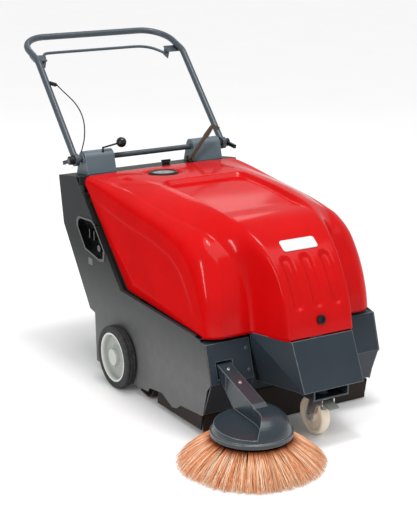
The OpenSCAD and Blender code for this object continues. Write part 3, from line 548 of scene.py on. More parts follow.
@dataclass(frozen=True)
class Tread(Finish):
    """Tyre rubber: a dull black with a greyed running face and small blocks moulded into it.

    Attributes:
        radius: The tyre's radius.
        hub_z: Height of the axle.
        face_in: How far inside the radius the running face begins, and is whole.
        rings: Turn of the wall's rings per metre, in radians.
    """

    colour: Colour
    scuffed: Colour
    radius: float
    hub_z: float
    face_in: Span = (0.012, 0.004)
    blocks: float = 60.0
    block_mask: Span = (-0.5, 0.1)
    block_share: float = 0.8
    rings: float = 1800.0
    ring_mask: Span = (-0.2, 0.6)
    ring_share: float = 0.25
    depth: float = 0.0009
    dirt: float = 60.0
    dirt_mask: Span = (0.35, 0.7)
    roughness: float = 0.62
    spread: float = 0.25

    def paint(self, g: Graph) -> dict[str, object]:
        """The distance from the axle finds the running face; sines of turn and distance are the relief.

        Args:
            g: The material's nodes.

        Returns:
            The shader's sockets.
        """
        r, turn = g.about_axle(self.hub_z)
        face = r.above(*(self.radius - inside for inside in self.face_in))
        blocks = g.maths("SINE", turn * self.blocks).above(*self.block_mask)
        rings = g.maths("SINE", r * self.rings).above(*self.ring_mask)
        dirt = g.noise(self.dirt, detail=5.0)
        scuff = face * dirt.above(*self.dirt_mask)
        height = face * blocks * self.block_share + (1.0 - face) * rings * self.ring_share
        return dict(
            Base_Color=g.blend(scuff, self.colour, self.scuffed),
            Roughness=self.roughness + dirt * self.spread,
            Normal=g.bump(height, self.depth),
        )


@dataclass(frozen=True)
class RimFace(Finish):
    """A moulded rim: a bright lip and hub, and a greyer dish between them, from painted shade in the hollow
    with some dirt.
    """

    colour: Colour
    dull: Colour
    hub_z: float
    lip: float = 0.068
    lip_fade: float = 0.006
    hub: float = 0.025
    hub_fade: float = 0.004
    hub_shade_share: float = 0.55
    dirt: float = 50.0
    shade_and_dirt_share: Span = (0.75, 0.3)
    roughness: float = 0.34
    spread: float = 0.12
    shine: float = 0.5
    edge_radius: float = 0.002

    def paint(self, g: Graph) -> dict[str, object]:
        """The distance from the axle finds the dish, darkened by painted shade and dirt; the hub takes part
        of the painted shade, the lip none.

        Args:
            g: The material's nodes.

        Returns:
            The shader's sockets.
        """
        r, _ = g.about_axle(self.hub_z)
        dirt = g.noise(self.dirt, detail=4.0)
        # Painted shade in the dish, and part of it on the hub; the noise adds dirt.
        dish = self.hub_shade_share + r.above(self.hub, self.hub + self.hub_fade) * (1.0 - self.hub_shade_share)
        dish = dish * (1.0 - r.above(self.lip, self.lip + self.lip_fade))
        film, cloudy = self.shade_and_dirt_share
        return dict(
            Base_Color=g.blend(dish * (film + dirt * cloudy), self.colour, self.dull),
            Roughness=self.roughness + dirt * self.spread,
            Specular_IOR_Level=self.shine,
            Normal=g.rounded(self.edge_radius),
        )


@dataclass(frozen=True)
class Pleats(Finish):
    """Filter paper in narrow pleats along X, darker in the folds by painted shade and a dusting."""

    colour: Colour
    pitch: float = 0.006
    depth: float = 0.002
    fold_shade: float = 0.35
    fibres: float = 700.0
    fibre_share: float = 0.3
    fibre_height: float = 0.1
    roughness: float = 0.9

    def paint(self, g: Graph) -> dict[str, object]:
        """A sine along X makes the pleats: dark in the folds, pale on the ridges.

        Args:
            g: The material's nodes.

        Returns:
            The shader's sockets.
        """
        wave = g.maths("SINE", g.part(g.place(), "X") * (2.0 * math.pi / self.pitch)) * 0.5 + 0.5
        # The folds are painted darker: painted shade, with a dusting.
        dust_and_painted_light = tuple(c * self.fold_shade for c in self.colour)
        fibre = g.noise(self.fibres)
        pale = wave * (1.0 - self.fibre_share) + fibre * self.fibre_share
        return dict(
            Base_Color=g.blend(pale, dust_and_painted_light, self.colour),
            Roughness=self.roughness,
            Normal=g.bump(wave + fibre * self.fibre_height, self.depth),
        )


@dataclass(frozen=True)
class ClearWindow(Finish):
    """A clear moulded window with faint smears."""

    colour: Colour = (0.92, 0.95, 0.94)
    smears: float = 120.0
    smear_mask: Span = (0.45, 0.7)
    rough: Span = (0.04, 0.12)
    alpha: Span = (0.16, 0.05)

    def paint(self, g: Graph) -> dict[str, object]:
        """Smears of noise add to the roughness and to what stops the light.

        Args:
            g: The material's nodes.

        Returns:
            The shader's sockets.
        """
        smear = g.noise(self.smears, detail=4.0).above(*self.smear_mask)
        return dict(
            Base_Color=self.colour,
            Roughness=self.rough[0] + smear * self.rough[1],
            Alpha=self.alpha[0] + smear * self.alpha[1],
            Coat_Weight=1.0,
        )


@dataclass(frozen=True)
class DialFace(Finish):
    """A printed dial: pale face, dark rim ring, ticks over three quarters of a turn and a pointer.

    Places on the dial are shares of its radius.
    """

    centre: Span
    radius: float
    pale: Colour = (0.30, 0.30, 0.29)
    ink: Colour = (0.02, 0.02, 0.02)
    pointer: Colour = (0.55, 0.03, 0.02)
    ticks: float = 24.0
    tick_mask: Span = (0.75, 0.85)
    tick_r: Span = (0.62, 0.80)
    sweep: float = 2.30
    ring_r: float = 0.84
    needle_lean: float = 0.55
    needle_half: float = 0.03
    needle_r: float = 0.66
    cap_r: float = 0.12
    blur: float = 0.02
    roughness: float = 0.45

    def _past(self, value: Value, edge: float) -> Value:
        """Mask that is 0 up to an edge and 1 just past it."""
        return value.above(edge, edge + self.blur)

    def paint(self, g: Graph) -> dict[str, object]:
        """The distance and the turn about the dial's centre find what is printed where.

        Args:
            g: The material's nodes.

        Returns:
            The shader's sockets.
        """
        place = g.place()
        x = (g.part(place, "X") - self.centre[0]) / self.radius
        y = (g.part(place, "Y") - self.centre[1]) / self.radius
        r = g.maths("SQRT", x * x + y * y)
        turn = g.maths("ARCTAN2", x, y)
        ticks = g.maths("COSINE", turn * self.ticks).above(*self.tick_mask)
        ticks = ticks * self._past(r, self.tick_r[0]) * (1.0 - self._past(r, self.tick_r[1]))
        swept = 1.0 - self._past(g.maths("ABSOLUTE", turn), self.sweep)
        ring = self._past(r, self.ring_r)
        needle = 1.0 - self._past(g.maths("ABSOLUTE", x - y * self.needle_lean), self.needle_half)
        needle = needle * self._past(y, -self.blur) * (1.0 - self._past(r, self.needle_r))
        cap = 1.0 - self._past(r, self.cap_r)
        face = g.blend(g.maths("MAXIMUM", ticks * swept, ring), self.pale, self.ink)
        face = g.blend(needle, face, self.pointer)
        return dict(Base_Color=g.blend(cap, face, self.ink), Roughness=self.roughness)


class Look(Enum):
    """The sweeper's finishes."""

    HOOD = Coat("hood_red", srgb(194, 10, 12), 0.14, 0.04, varnish=0.30, dull_sides=1.0, shine=0.006,
                shade=0.05, grain=1400.0, depth=0.00002, edge_radius=0.002)
    # The side panels' low film makes them lighter towards the bottom: a dusting, and painted light from the
    # bright floor.
    PANEL = Coat("panel_enamel", srgb(38, 41, 42), 0.42, 0.10, shine=0.08, shade=0.06,
                 worn_and_highlight=(0.42, 0.42, 0.41), wear_and_highlight=0.20, edge_radius=0.002, dust_and_light_tint=(0.30, 0.30, 0.30),
                 dust_and_painted_light=0.74, dust_and_light_z=(0.10, 0.43))
    # The constant share of the edge colour is a painted highlight along the folds; the rest is chipping.
    FRONT = Coat("front_enamel", srgb(42, 51, 60), 0.40, 0.10, shade=0.05,
                 worn_and_highlight=(0.34, 0.38, 0.39), wear_and_highlight=0.55, painted_highlight_share=0.75, dust_and_painted_light=0.06, edge_radius=0.004)
    HANDLE = Coat("handle_powder", srgb(60, 70, 78), 0.36, 0.08, shine=0.45, shade=0.06,
                  worn_and_highlight=(0.36, 0.37, 0.38), wear_and_highlight=0.3)
    # Most of the edge colour is a painted highlight along the edges; the rest is chipping.
    CAST = Coat("pedestal_cast", srgb(86, 101, 109), 0.42, 0.12, shine=0.45, shade=0.06, depth=0.0002,
                grain=500.0, worn_and_highlight=(0.30, 0.34, 0.36), wear_and_highlight=0.6, painted_highlight_share=0.8, edge_radius=0.004)
    BLACK = Coat("black_moulding", srgb(26, 26, 27), 0.42, 0.15, shade=0.2, depth=0.00008)
    GLOSS_BLACK = Coat("tray_moulding", srgb(16, 16, 17), 0.2, 0.12, varnish=0.4, shade=0.2,
                       edge_radius=0.002)
    # Most of the edge colour is a painted highlight along the rims and ridges; the rest is chipping.
    COVER = Coat("brush_cover_plastic", srgb(39, 50, 57), 0.26, 0.06, shine=0.55, shade=0.04, grain=700.0,
                 depth=0.00003, worn_and_highlight=(0.44, 0.48, 0.49), wear_and_highlight=0.36, painted_highlight_share=0.9, dust_and_painted_light=0.04, edge_radius=0.004)
    # The rim's dish is painted darker: painted shade in the hollow, with dirt.
    RIM = RimFace("rim_plastic", srgb(214, 217, 212), srgb(148, 152, 147), hub_z=WHEEL_R)
    NYLON = Coat("caster_nylon", srgb(252, 240, 218), 0.45, 0.12, shade=0.04, dust_and_painted_light=0.10, edge_radius=0.0015)
    PEDAL = Coat("pedal_plastic", srgb(112, 120, 112), 0.5, 0.1, dust_and_painted_light=0.3)
    SKIRT = Coat("skirt_rubber", srgb(36, 27, 23), 0.75, 0.15, shade=0.08, grain=300.0, depth=0.0003,
                 dust_and_painted_light=0.05)
    BIN = Coat("bin_plastic", srgb(62, 67, 71), 0.5, 0.12, grain=600.0, depth=0.00012, dust_and_painted_light=0.3)
    BADGE = Coat("blank_plate", srgb(214, 217, 220), 0.25, 0.08, varnish=0.3, shade=0.04, edge_radius=0.001)
    LABEL = Coat("label_film", srgb(94, 97, 96), 0.45, 0.08, shade=0.05, edge_radius=0.0002)
    BATTERY = Coat("battery_case", srgb(36, 38, 41), 0.5, 0.12)
    CABLE = Coat("cable_sleeve", srgb(20, 20, 21), 0.4, 0.1, shade=0.2, edge_radius=0.0003)
    LEVER = Coat("lever_paint", srgb(74, 68, 56), 0.45, 0.12, worn_and_highlight=(0.4, 0.39, 0.36), wear_and_highlight=0.5)
    ZINC = BareMetal("bright_zinc", (0.58, 0.58, 0.57), 0.22)
    ALLOY = BareMetal("motor_alloy", (0.50, 0.50, 0.51), 0.36)
    TYRE = Tread("tyre_rubber", srgb(38, 39, 41), srgb(58, 57, 58), radius=WHEEL_R, hub_z=WHEEL_R)
    PAPER = Pleats("filter_paper", srgb(205, 192, 160))
    WINDOW = ClearWindow("gauge_window")
    TAN = Strands("tan_bristles", srgb(226, 122, 66), srgb(248, 190, 142), srgb(255, 240, 216))
    DARK = Strands("roller_bristles", srgb(34, 34, 36), srgb(58, 58, 60), srgb(92, 90, 88))


NODE_LOOKS: dict[Look, list[str]] = {
    Look.PANEL: ["right_side_panel", "left_side_panel", "rear_deck"],
    Look.FRONT: ["nose_panel", "right_front_plate", "left_front_plate", "brush_housing", "equipment_shelf",
                 "caster_arm", "chassis_screws"],
    Look.CAST: ["right_pedestal", "left_pedestal"],
    Look.HANDLE: ["handle_tube", "bail", "bail_brackets", "pivot_tube"],
    Look.ZINC: ["rear_axle", "axle_bearings", "hinge_leaves", "hood_hinge_arms", "cover_screws",
                "caster_fork"],
    Look.LEVER: ["flap_lever"],
    Look.CABLE: ["ball_lever_rod"],
    Look.ALLOY: ["drive_motor", "brush_gearmotor"],
    Look.BLACK: ["cable_stop", "right_clamp", "left_clamp", "switch_base", "switch_key",
                 "gauge_bezel", "roller_core", "brush_disc", "motor_pulley", "fan_housing", "fan_rotor",
                 "hood_lock"],
    Look.GLOSS_BLACK: ["recess_tray", "ball_knob"],
    Look.BADGE: ["badge_plate"],
    Look.WINDOW: ["gauge_lens"],
    Look.TYRE: ["right_tyre", "left_tyre"],
    Look.RIM: ["right_rim", "left_rim"],
    Look.SKIRT: ["front_flap", "rear_flap", "side_skirts", "drive_belt"],
    Look.NYLON: ["caster_wheel"],
    Look.PEDAL: ["caster_brake"],
    Look.COVER: ["brush_cover"],
    Look.BIN: ["hopper_bin"],
    Look.BATTERY: ["batteries"],
    Look.PAPER: ["filter_element"],
}


class Finishes:
    """Makes each finish's material once."""

    def __init__(self) -> None:
        """Starts with nothing made."""
        self._made: dict[str, bpy.types.Material] = {}

    def get(self, finish: Finish) -> bpy.types.Material:
        """Material of a finish, made the first time it is asked for.

        Args:
            finish: The finish.

        Returns:
            The material.
        """
        if finish.name not in self._made:
            self._made[finish.name] = finish.material()
        return self._made[finish.name]


class Surface:
    """A mesh worked out as arrays of points and faces."""

    def __init__(self, points: np.ndarray, faces: np.ndarray, **attributes: np.ndarray) -> None:
        """Keeps the arrays.

        Args:
            points: Points as rows, in metres.
            faces: Point numbers as rows of four.
            attributes: One number per point, by name.
        """
        self.points = points
        self.faces = faces
        self.attributes = attributes

    @classmethod
    def grid(cls, grid: np.ndarray, wrap: bool = False) -> "Surface":
        """Surface over a grid of points: point (i, j) joins (i + 1, j) and (i, j + 1).

        Args:
            grid: Points of shape (rows, columns, 3).
            wrap: Whether the last column joins the first.

        Returns:
            The surface.
        """
        rows, columns = grid.shape[:2]
        i, j = np.meshgrid(np.arange(rows - 1), np.arange(columns - (not wrap)), indexing="ij")
        after = (j + 1) % columns
        corners = (i * columns + j, i * columns + after, (i + 1) * columns + after, (i + 1) * columns + j)
        return cls(grid.reshape(-1, 3), np.stack(corners, -1).reshape(-1, 4))

    def piece(self, name: str, material: bpy.types.Material, smooth: bool = True) -> bpy.types.Object:
        """Puts the arrays into an object at the origin.

        Args:
            name: The piece's name.
            material: Its finish.
            smooth: Whether it is shaded smooth.

        Returns:
            The object.
        """
        mesh = bpy.data.meshes.new(name)
        mesh.from_pydata(self.points, [], self.faces)
        for key, values in self.attributes.items():
            mesh.attributes.new(key, "FLOAT", "POINT").data.foreach_set("value", np.ravel(values))
        mesh.polygons.foreach_set("use_smooth", np.full(len(mesh.polygons), smooth))
        mesh.materials.append(material)
        mesh.update()
        made = bpy.data.objects.new(name, mesh)
        bpy.context.scene.collection.objects.link(made)
        return made


def unit(vectors: np.ndarray) -> np.ndarray:
    """Vectors along the last axis, each brought to length 1."""
    return vectors / np.linalg.norm(vectors, axis=-1, keepdims=True)


def bezier(points: Outline, t: np.ndarray) -> np.ndarray:
    """Bezier curve: repeated straight blends of neighbouring control points.

    Args:
        points: Control points as (y, z).
        t: Places along the curve, from 0 to 1.

    Returns:
        One (y, z) row per place.
    """
    level = [np.broadcast_to(np.array(p, float), (len(t), 2)) for p in points]
    while len(level) > 1:
        level = [mix(a, b, t[:, None]) for a, b in zip(level, level[1:])]
    return level[0]


def spline(route: np.ndarray, per_span: int) -> np.ndarray:
    """Points on a smooth curve through a route: each span is a Catmull-Rom cubic.

    Args:
        route: Points as rows.
        per_span: Points per span.

    Returns:
        Points as rows, from the first to the last of the route.
    """
    p = np.concatenate([[2 * route[0] - route[1]], route, [2 * route[-1] - route[-2]]])
    s = np.linspace(0, 1, per_span, endpoint=False)[None, :, None]
    a, b, c, d = (p[k:len(p) - 3 + k][:, None] for k in range(4))
    bent = (2 * a - 5 * b + 4 * c - d) * s ** 2 + (3 * b - a - 3 * c + d) * s ** 3
    line = 0.5 * (2 * b + (c - a) * s + bent)
    return np.concatenate([line.reshape(-1, 3), route[-1:]])


def tube(line: np.ndarray, thickness: float, sides: int, across: Point) -> Surface:
    """Round rod along a line, closed at both ends: a circle carried along the line.

    Args:
        line: Points as rows.
        thickness: The rod's diameter.
        sides: Points round it.
        across: A direction that the line never takes.

    Returns:
        The surface.
    """
    along = unit(np.gradient(line, axis=0))
    side = unit(np.cross(along, np.array(across)))
    other = np.cross(along, side)
    a = np.arange(sides) * 2 * np.pi / sides
    spoke = side[:, None] * np.cos(a)[None, :, None] + other[:, None] * np.sin(a)[None, :, None]
    skin = line[:, None] + spoke * thickness / 2
    ends = np.broadcast_to(line[[0, -1]][:, None], (2, sides, 3))
    return Surface.grid(np.concatenate([ends[:1], skin, ends[1:]]), wrap=True)


class Piece(ABC):
    """A piece worked out here. It rides a body, and stands for the node that it names, if it names one."""

    name: str
    body: str
    slot: str
    look: Look
    node: str = ""
    smooth: bool = True

    @abstractmethod
    def surface(self) -> Surface:
        """Works out the piece's points and faces."""

    def finish(self) -> Finish:
        """The piece's finish."""
        return self.look.value

    def build(self, finishes: Finishes) -> bpy.types.Object:
        """Makes the piece, dresses it and puts it on its body.

        Args:
            finishes: The materials.

        Returns:
            The piece.
        """
        piece = self.surface().piece(self.name, finishes.get(self.finish()), self.smooth)
        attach(piece, self.body)
        if self.node:
            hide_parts(self.node)
        return piece


@dataclass
class Hood(Piece):
    """The moulded hood: a top skin blended from a shoulder curve and a crown curve, and two side walls.

    Each row follows t from 0 at the rear edge over the top to 1 at the lower front edge. A pair that ends
    in _t is a start and a length along t. Sizes are in millimetres.

    Attributes:
        edge_r: Radius of the side edges at the rear, and what is added past it and where the top turns.
        bend: Place along t at which the two curves of a row meet.
        groove_ends: The grooves' two ends along t.
        run: Length of a row, for the grooves' round ends.
        recess_rear: The recess's rear edge along t.
        recess_fade: Its front end along t, and the length over which it fades before that.
        knee: Place along t of the bend in the walls' lower edge.
        panel_edge: Distance below the rim at which a wall steps in, and the height of the step.
        panel_rows: Shares of the wall's rows that lie above the step and above its foot.
        panel_limit: The most of a wall's height at which the step starts and ends.
        lock: Place along t of the hole for the lock.
        lip: How far the rows of the rolled front lip lie inwards and down.
    """

    name = "hood_skin"
    body = "hood"
    node = "hood_shell"
    slot = "hood_red"
    look = Look.HOOD

    half_width: float = 286.0
    wall: float = 4.0
    edge_power: float = 1.4
    edge_r: tuple[float, float, float] = (18.0, 26.0, 20.0)
    edge_wide_t: Span = (0.0, 0.3)
    edge_turn_t: Span = (0.4, 0.2)
    edge_front_t: Span = (0.7, 0.3)
    bend: float = 0.52
    crown_outer: float = 245.0
    crown_slope: float = 105.0
    crown_power: float = 1.8
    nose_outer: float = 152.0
    nose_slope: float = 48.0
    nose_t: Span = (0.38, 0.5)
    groove_depth: float = 7.0
    groove_x: float = 66.0
    groove_half: float = 19.0
    groove_slope: float = 8.0
    groove_ends: Span = (0.79, 0.918)
    run: float = 1000.0
    recess_depth: float = 16.0
    recess_half: float = 166.0
    recess_taper: float = 40.0
    recess_corner: float = 42.0
    recess_slope: float = 16.0
    recess_rear: float = 0.225
    recess_fade: Span = (0.63, 0.12)
    dish_depth: float = 9.0
    dish_x: float = -62.0
    dish_at: float = 0.105
    dish_r: float = 66.0
    dish_slope: float = 12.0
    knee: float = 0.42
    rows: int = 215
    columns: int = 189
    wall_rows: int = 18
    panel_depth: float = 3.0
    panel_edge: Span = (44.0, 20.0)
    panel_rows: Span = (0.25, 0.75)
    panel_limit: Span = (0.4, 0.7)
    lock: float = 0.965
    lock_r: float = 9.0
    lip: Outline = ((1.5, 1.2), (4.0, 3.0), (5.0, 7.0))
    shoulder_top: Outline = ((266, 621), (-30, 616), (-334, 577))
    shoulder_front: Outline = ((-334, 577), (-452, 556), (-498, 430), (-512, 303))
    crown_top: Outline = ((266, 623), (-10, 650), (-300, 620))
    crown_front: Outline = ((-300, 620), (-500, 596), (-616, 505), (-645, 308))
    side_edge: Outline = ((268, 598), (-18, 317), (-466, 297))

    def curve(self, top: Outline, front: Outline, t: np.ndarray) -> np.ndarray:
        """Two Bezier curves joined at the bend.

        Args:
            top: Control points before the bend, as (y, z).
            front: Control points after it.
            t: Places along both.

        Returns:
            One (y, z) row per place.
        """
        over = bezier(top, np.clip(t / self.bend, 0, 1))
        down = bezier(front, np.clip((t - self.bend) / (1 - self.bend), 0, 1))
        return np.where((t < self.bend)[:, None], over, down)

    def shoulder(self, t: np.ndarray) -> np.ndarray:
        """The curve that the skin follows at its sides."""
        return self.curve(self.shoulder_top, self.shoulder_front, t)

    def crown(self, t: np.ndarray) -> np.ndarray:
        """The curve that the skin follows along its middle."""
        return self.curve(self.crown_top, self.crown_front, t)

    @staticmethod
    def outward(curve: Callable[[np.ndarray], np.ndarray], t: np.ndarray, step: float = 0.01) -> np.ndarray:
        """Unit normals of a curve: its chord over a small step, turned a quarter.

        Args:
            curve: The curve.
            t: Places along it.
            step: Half of the step.

        Returns:
            One (y, z) row per place.
        """
        along = unit(curve(np.minimum(t + step, 1)) - curve(np.maximum(t - step, 0)))
        return np.stack([along[:, 1], -along[:, 0]], 1)

    def _sunk(self, x: np.ndarray, t: np.ndarray, y: np.ndarray) -> np.ndarray:
        """Depth of the three grooves, the long recess and the gauge's dish at each point.

        Each is a smooth step over the distance inside its outline: a slot with round ends, a rectangle
        with round corners that narrows to the front, and a circle.

        Args:
            x: Distances from the centre plane, of shape (rows, columns).
            t: Places along the rows, of shape (rows, 1).
            y: The crown's Y at each row, of shape (rows, 1).

        Returns:
            Depths of shape (rows, columns).
        """
        off = np.where(np.abs(x) > self.groove_x / 2, np.abs(x) - self.groove_x, x)
        past = np.maximum(np.maximum(self.groove_ends[0] - t, t - self.groove_ends[1]), 0) * self.run
        groove = self.groove_depth * soft((self.groove_half - np.hypot(off, past)) / self.groove_slope)
        centre, rear = self.crown(np.array([self.dish_at, self.recess_rear]))[:, 0]
        across = np.abs(x) - (self.recess_half - self.recess_taper * t - self.recess_corner)
        back = y - (rear - self.recess_corner)
        beyond = np.hypot(np.maximum(across, 0), np.maximum(back, 0))
        beyond = beyond + np.minimum(np.maximum(across, back), 0)
        end, fade = self.recess_fade
        recess = soft((self.recess_corner - beyond) / self.recess_slope) * soft((end - t) / fade)
        dish = soft((self.dish_r - np.hypot(x - self.dish_x, y - centre)) / self.dish_slope)
        return groove + self.recess_depth * recess + self.dish_depth * dish

    def _edge_radius(self, t: np.ndarray) -> np.ndarray:
        """Radius of the long side edges: it grows from the rear, and again where the top turns down."""
        rear, wide, turn = self.edge_r
        turned = rise(t, *self.edge_turn_t) - rise(t, *self.edge_front_t)
        return rear + wide * rise(t, *self.edge_wide_t) + turn * turned

    def _top(self, x: np.ndarray, t: np.ndarray) -> np.ndarray:
        """Points of the top skin: shoulder and crown blended by the distance from the middle.

        The side edges bend down by r - r sqrt(1 - (d / r)^n), with d the distance past the flat part.

        Args:
            x: Distances from the centre plane, of shape (rows, columns).
            t: Places along the rows, of shape (rows,).

        Returns:
            Points of shape (rows, columns, 3).
        """
        s = rise(t, *self.nose_t)[:, None]
        v = mix(self.crown_outer, self.nose_outer, s) - np.abs(x)
        v = np.clip(v / mix(self.crown_slope, self.nose_slope, s), 0, 1)
        raised = mix(1 - (1 - v) ** self.crown_power, soft(v), s)[..., None]
        shoulder, crown = self.shoulder(t)[:, None], self.crown(t)[:, None]
        out_s, out_c = (self.outward(curve, t)[:, None] for curve in (self.shoulder, self.crown))
        r = self._edge_radius(t)[:, None]
        past = np.maximum(np.abs(x) - (self.half_width - r), 0)
        depth = r * (1 - np.sqrt(np.maximum(1 - (past / r) ** self.edge_power, 0)))
        depth = depth + self._sunk(x, t[:, None], crown[..., 0])
        flat = mix(shoulder, crown, raised) - mix(out_s, out_c, raised) * depth[..., None]
        return np.concatenate([x[..., None], flat], 2)

    def _wall(self, rim: np.ndarray, edge: np.ndarray) -> np.ndarray:
        """Points of a side wall, with a panel set in below its rim.

        The rows lie close together where the wall steps in.

        Args:
            rim: The top skin's outer points.
            edge: The wall's lower edge as (y, z), one row per point of the rim.

        Returns:
            Points of shape (rows, wall_rows, 3), from the lower edge up.
        """
        low = np.concatenate([rim[:, :1], edge], 1)
        tall = np.linalg.norm(rim - low, axis=1)
        start, width = self.panel_edge
        steps = np.linspace(1, 0, self.wall_rows + 1)[:-1]
        stops = [0, *self.panel_rows, 1]
        limit = np.array(self.panel_limit)[:, None]
        step_in = np.minimum(np.array([[start], [start + width]]) / tall, limit)
        down = np.stack([np.interp(steps, stops, [0, a, b, 1]) for a, b in step_in.T])
        wall = mix(low[:, None], rim[:, None], (1 - down)[..., None])
        inset = soft((down * tall[:, None] - start) / width) * soft((1 - down) * tall[:, None] / width)
        wall[..., 0] -= np.sign(wall[..., 0]) * self.panel_depth * inset
        return wall

    def surface(self) -> Surface:
        """Works out the outer skin as one grid, with a hole for the lock.

        The columns lie closer together towards the sides, by (3u - u^3) / 2.

        Returns:
            The skin.
        """
        t = np.linspace(0, 1, self.rows)
        u = np.linspace(-1, 1, self.columns)
        x = np.broadcast_to((3 * u - u ** 3) / 2 * self.half_width, (self.rows, self.columns))
        top = self._top(x, t)
        edge = np.stack([np.interp(t, (0, self.knee, 1), c) for c in zip(*self.side_edge)], 1)
        right, left = (self._wall(top[:, column], edge) for column in (0, -1))
        grid = np.concatenate([right, top, left[:, ::-1]], 1)
        lip = [grid[-1:] + np.array([0, inward, -down]) for inward, down in self.lip]
        grid = np.concatenate([grid, *lip]) * MM
        skin = Surface.grid(grid[:, ::-1])
        lock = self.crown(np.array([self.lock]))[0] * MM
        middle = skin.points[skin.faces].mean(1)
        away = np.linalg.norm(middle - np.array([0, *lock]), axis=1)
        skin.faces = skin.faces[away > self.lock_r * MM]
        return skin

    def build(self, finishes: Finishes) -> bpy.types.Object:
        """Makes the hood with a wall inside its skin.

        Args:
            finishes: The materials.

        Returns:
            The piece.
        """
        piece = super().build(finishes)
        skin = piece.modifiers.new("wall", "SOLIDIFY")
        skin.thickness = self.wall * MM
        skin.offset = -1.0
        return piece


@dataclass
class Bristles(Piece):
    """Thin four-sided strands that bend from a root to a tip, set out by a seeded generator."""

    thickness: float
    taper: float = 0.55
    seed: int = 7
    segments: int = 4
    across: Point = (0.31, 0.17, 0.93)

    @abstractmethod
    def strands(self, rng: np.random.Generator) -> tuple[np.ndarray, np.ndarray, np.ndarray]:
        """Roots, knees and tips of the strands, as rows of points."""

    def surface(self) -> Surface:
        """Works out the strands: a square carried along the parabola from root to tip that the knee bends.

        Returns:
            The strands, with a tint for each and the share of its length at each point.
        """
        rng = np.random.default_rng(self.seed)
        root, knee, tip = self.strands(rng)
        count = len(root)
        share = np.linspace(0, 1, self.segments + 1)
        s = share[None, :, None]
        line = root[:, None] * (1 - s) ** 2 + knee[:, None] * 2 * s * (1 - s) + tip[:, None] * s ** 2
        along = unit(np.gradient(line, axis=1))
        side = unit(np.cross(along, np.array(self.across)))
        other = np.cross(along, side)
        radius = self.thickness / 2 * (1.0 - self.taper * s)
        ring = np.stack([line + radius * way for way in (side, other, -side, -other)], 2)
        one = Surface.grid(ring[0], wrap=True)
        per = len(one.points)
        ends = [[per - 4, per - 3, per - 2, per - 1], [3, 2, 1, 0]]
        faces = np.arange(count)[:, None, None] * per + np.concatenate([one.faces, ends])[None]
        tint = np.repeat(rng.random(count), per)
        places = np.tile(np.repeat(share, 4), count)
        return Surface(ring.reshape(-1, 3), faces.reshape(-1, 4), tint=tint, along=places)


@dataclass
class SideBrush(Bristles):
    """The disc brush: strands splay from under the disc, and an outer row from round it."""

    name = "side_brush_strands"
    body = "side_brush"
    node = "side_bristles"
    slot = "bristle_tan"
    look = Look.TAN

    thickness: float = 0.0018
    count: int = 5500
    centre: Span = (-0.271, -0.704)
    root_r: Span = (0.058, 0.1085)
    root_z: float = 0.0625
    collar: float = 0.017
    collar_ring: Span = (0.9, 0.06)
    tip_r: Span = (0.120, 0.2122)
    tip_z: float = 0.0035
    tip_rise: float = 0.005
    tip_short: float = 0.06
    swing: float = 0.045
    knee_reach: float = 0.55
    knee_swing: float = 0.4
    knee_drop: float = 0.36

    def _polar(self, r: np.ndarray, a: np.ndarray, z: np.ndarray) -> np.ndarray:
        """Points at a radius, turn and height about the brush's axis."""
        x, y = self.centre
        return np.stack([x + r * np.cos(a), y + r * np.sin(a), np.broadcast_to(z, r.shape)], 1)

    def strands(self, rng: np.random.Generator) -> tuple[np.ndarray, np.ndarray, np.ndarray]:
        """Strands at random turns: the further out a root sits, the further out its tip is.

        Args:
            rng: The seeded generator.

        Returns:
            Roots, knees and tips, as rows of points.
        """
        ring = np.sqrt(rng.random(self.count))
        turn = rng.random(self.count) * 2 * np.pi
        swing = rng.normal(0, self.swing, self.count)
        reach = mix(*self.tip_r, ring) * (1 - self.tip_short * rng.random(self.count) ** 2)
        tip_z = self.tip_z + self.tip_rise * ring * rng.random(self.count)
        start = mix(*self.root_r, ring)
        high = self.root_z + self.collar * rise(ring, *self.collar_ring)
        knee_r = mix(start, reach, self.knee_reach)
        knee = self._polar(knee_r, turn + swing * self.knee_swing, mix(high, tip_z, self.knee_drop))
        return self._polar(start, turn, high), knee, self._polar(reach, turn + swing, tip_z)


@dataclass
class MainRoller(Bristles):
    """The main roller's strands: tufts in rows that wind round the core."""

    name = "main_roller_strands"
    body = "main_roller"
    node = "roller_bristles"
    slot = "bristle_tan"
    look = Look.DARK

    thickness: float = 0.0024
    centre: Span = (-0.325, 0.136)
    span: Span = (-0.271, 0.237)
    core_r: float = 0.071
    reach: float = 0.1328
    rows: int = 10
    tufts: int = 40
    per_tuft: int = 7
    wind: float = 1.1
    scatter: float = 0.02
    splay: float = 0.0025
    lean: float = 0.05

    def _polar(self, r: float, a: np.ndarray, along: np.ndarray) -> np.ndarray:
        """Points at a radius and turn about the roller's axis, and a place along it."""
        y, z = self.centre
        return np.stack([along, y + r * np.cos(a), z + r * np.sin(a)], 1)

    def strands(self, rng: np.random.Generator) -> tuple[np.ndarray, np.ndarray, np.ndarray]:
        """Strands in tufts: each row starts at its own turn and winds on along the roller.

        Args:
            rng: The seeded generator.

        Returns:
            Roots, knees and tips, as rows of points.
        """
        count = self.rows * self.tufts * self.per_tuft
        index = np.arange(count)
        place = (index // self.per_tuft) % self.tufts / (self.tufts - 1)
        row = index // (self.per_tuft * self.tufts)
        turn = row * 2 * np.pi / self.rows + place * self.wind + rng.normal(0, self.scatter, count)
        x = mix(*self.span, place)
        splay = rng.normal(0, self.splay, count)
        lean = rng.normal(0, self.lean, count)
        knee = self._polar((self.core_r + self.reach) / 2, turn + lean / 3, x + splay)
        return self._polar(self.core_r, turn, x), knee, self._polar(self.reach, turn + lean, x + 2 * splay)


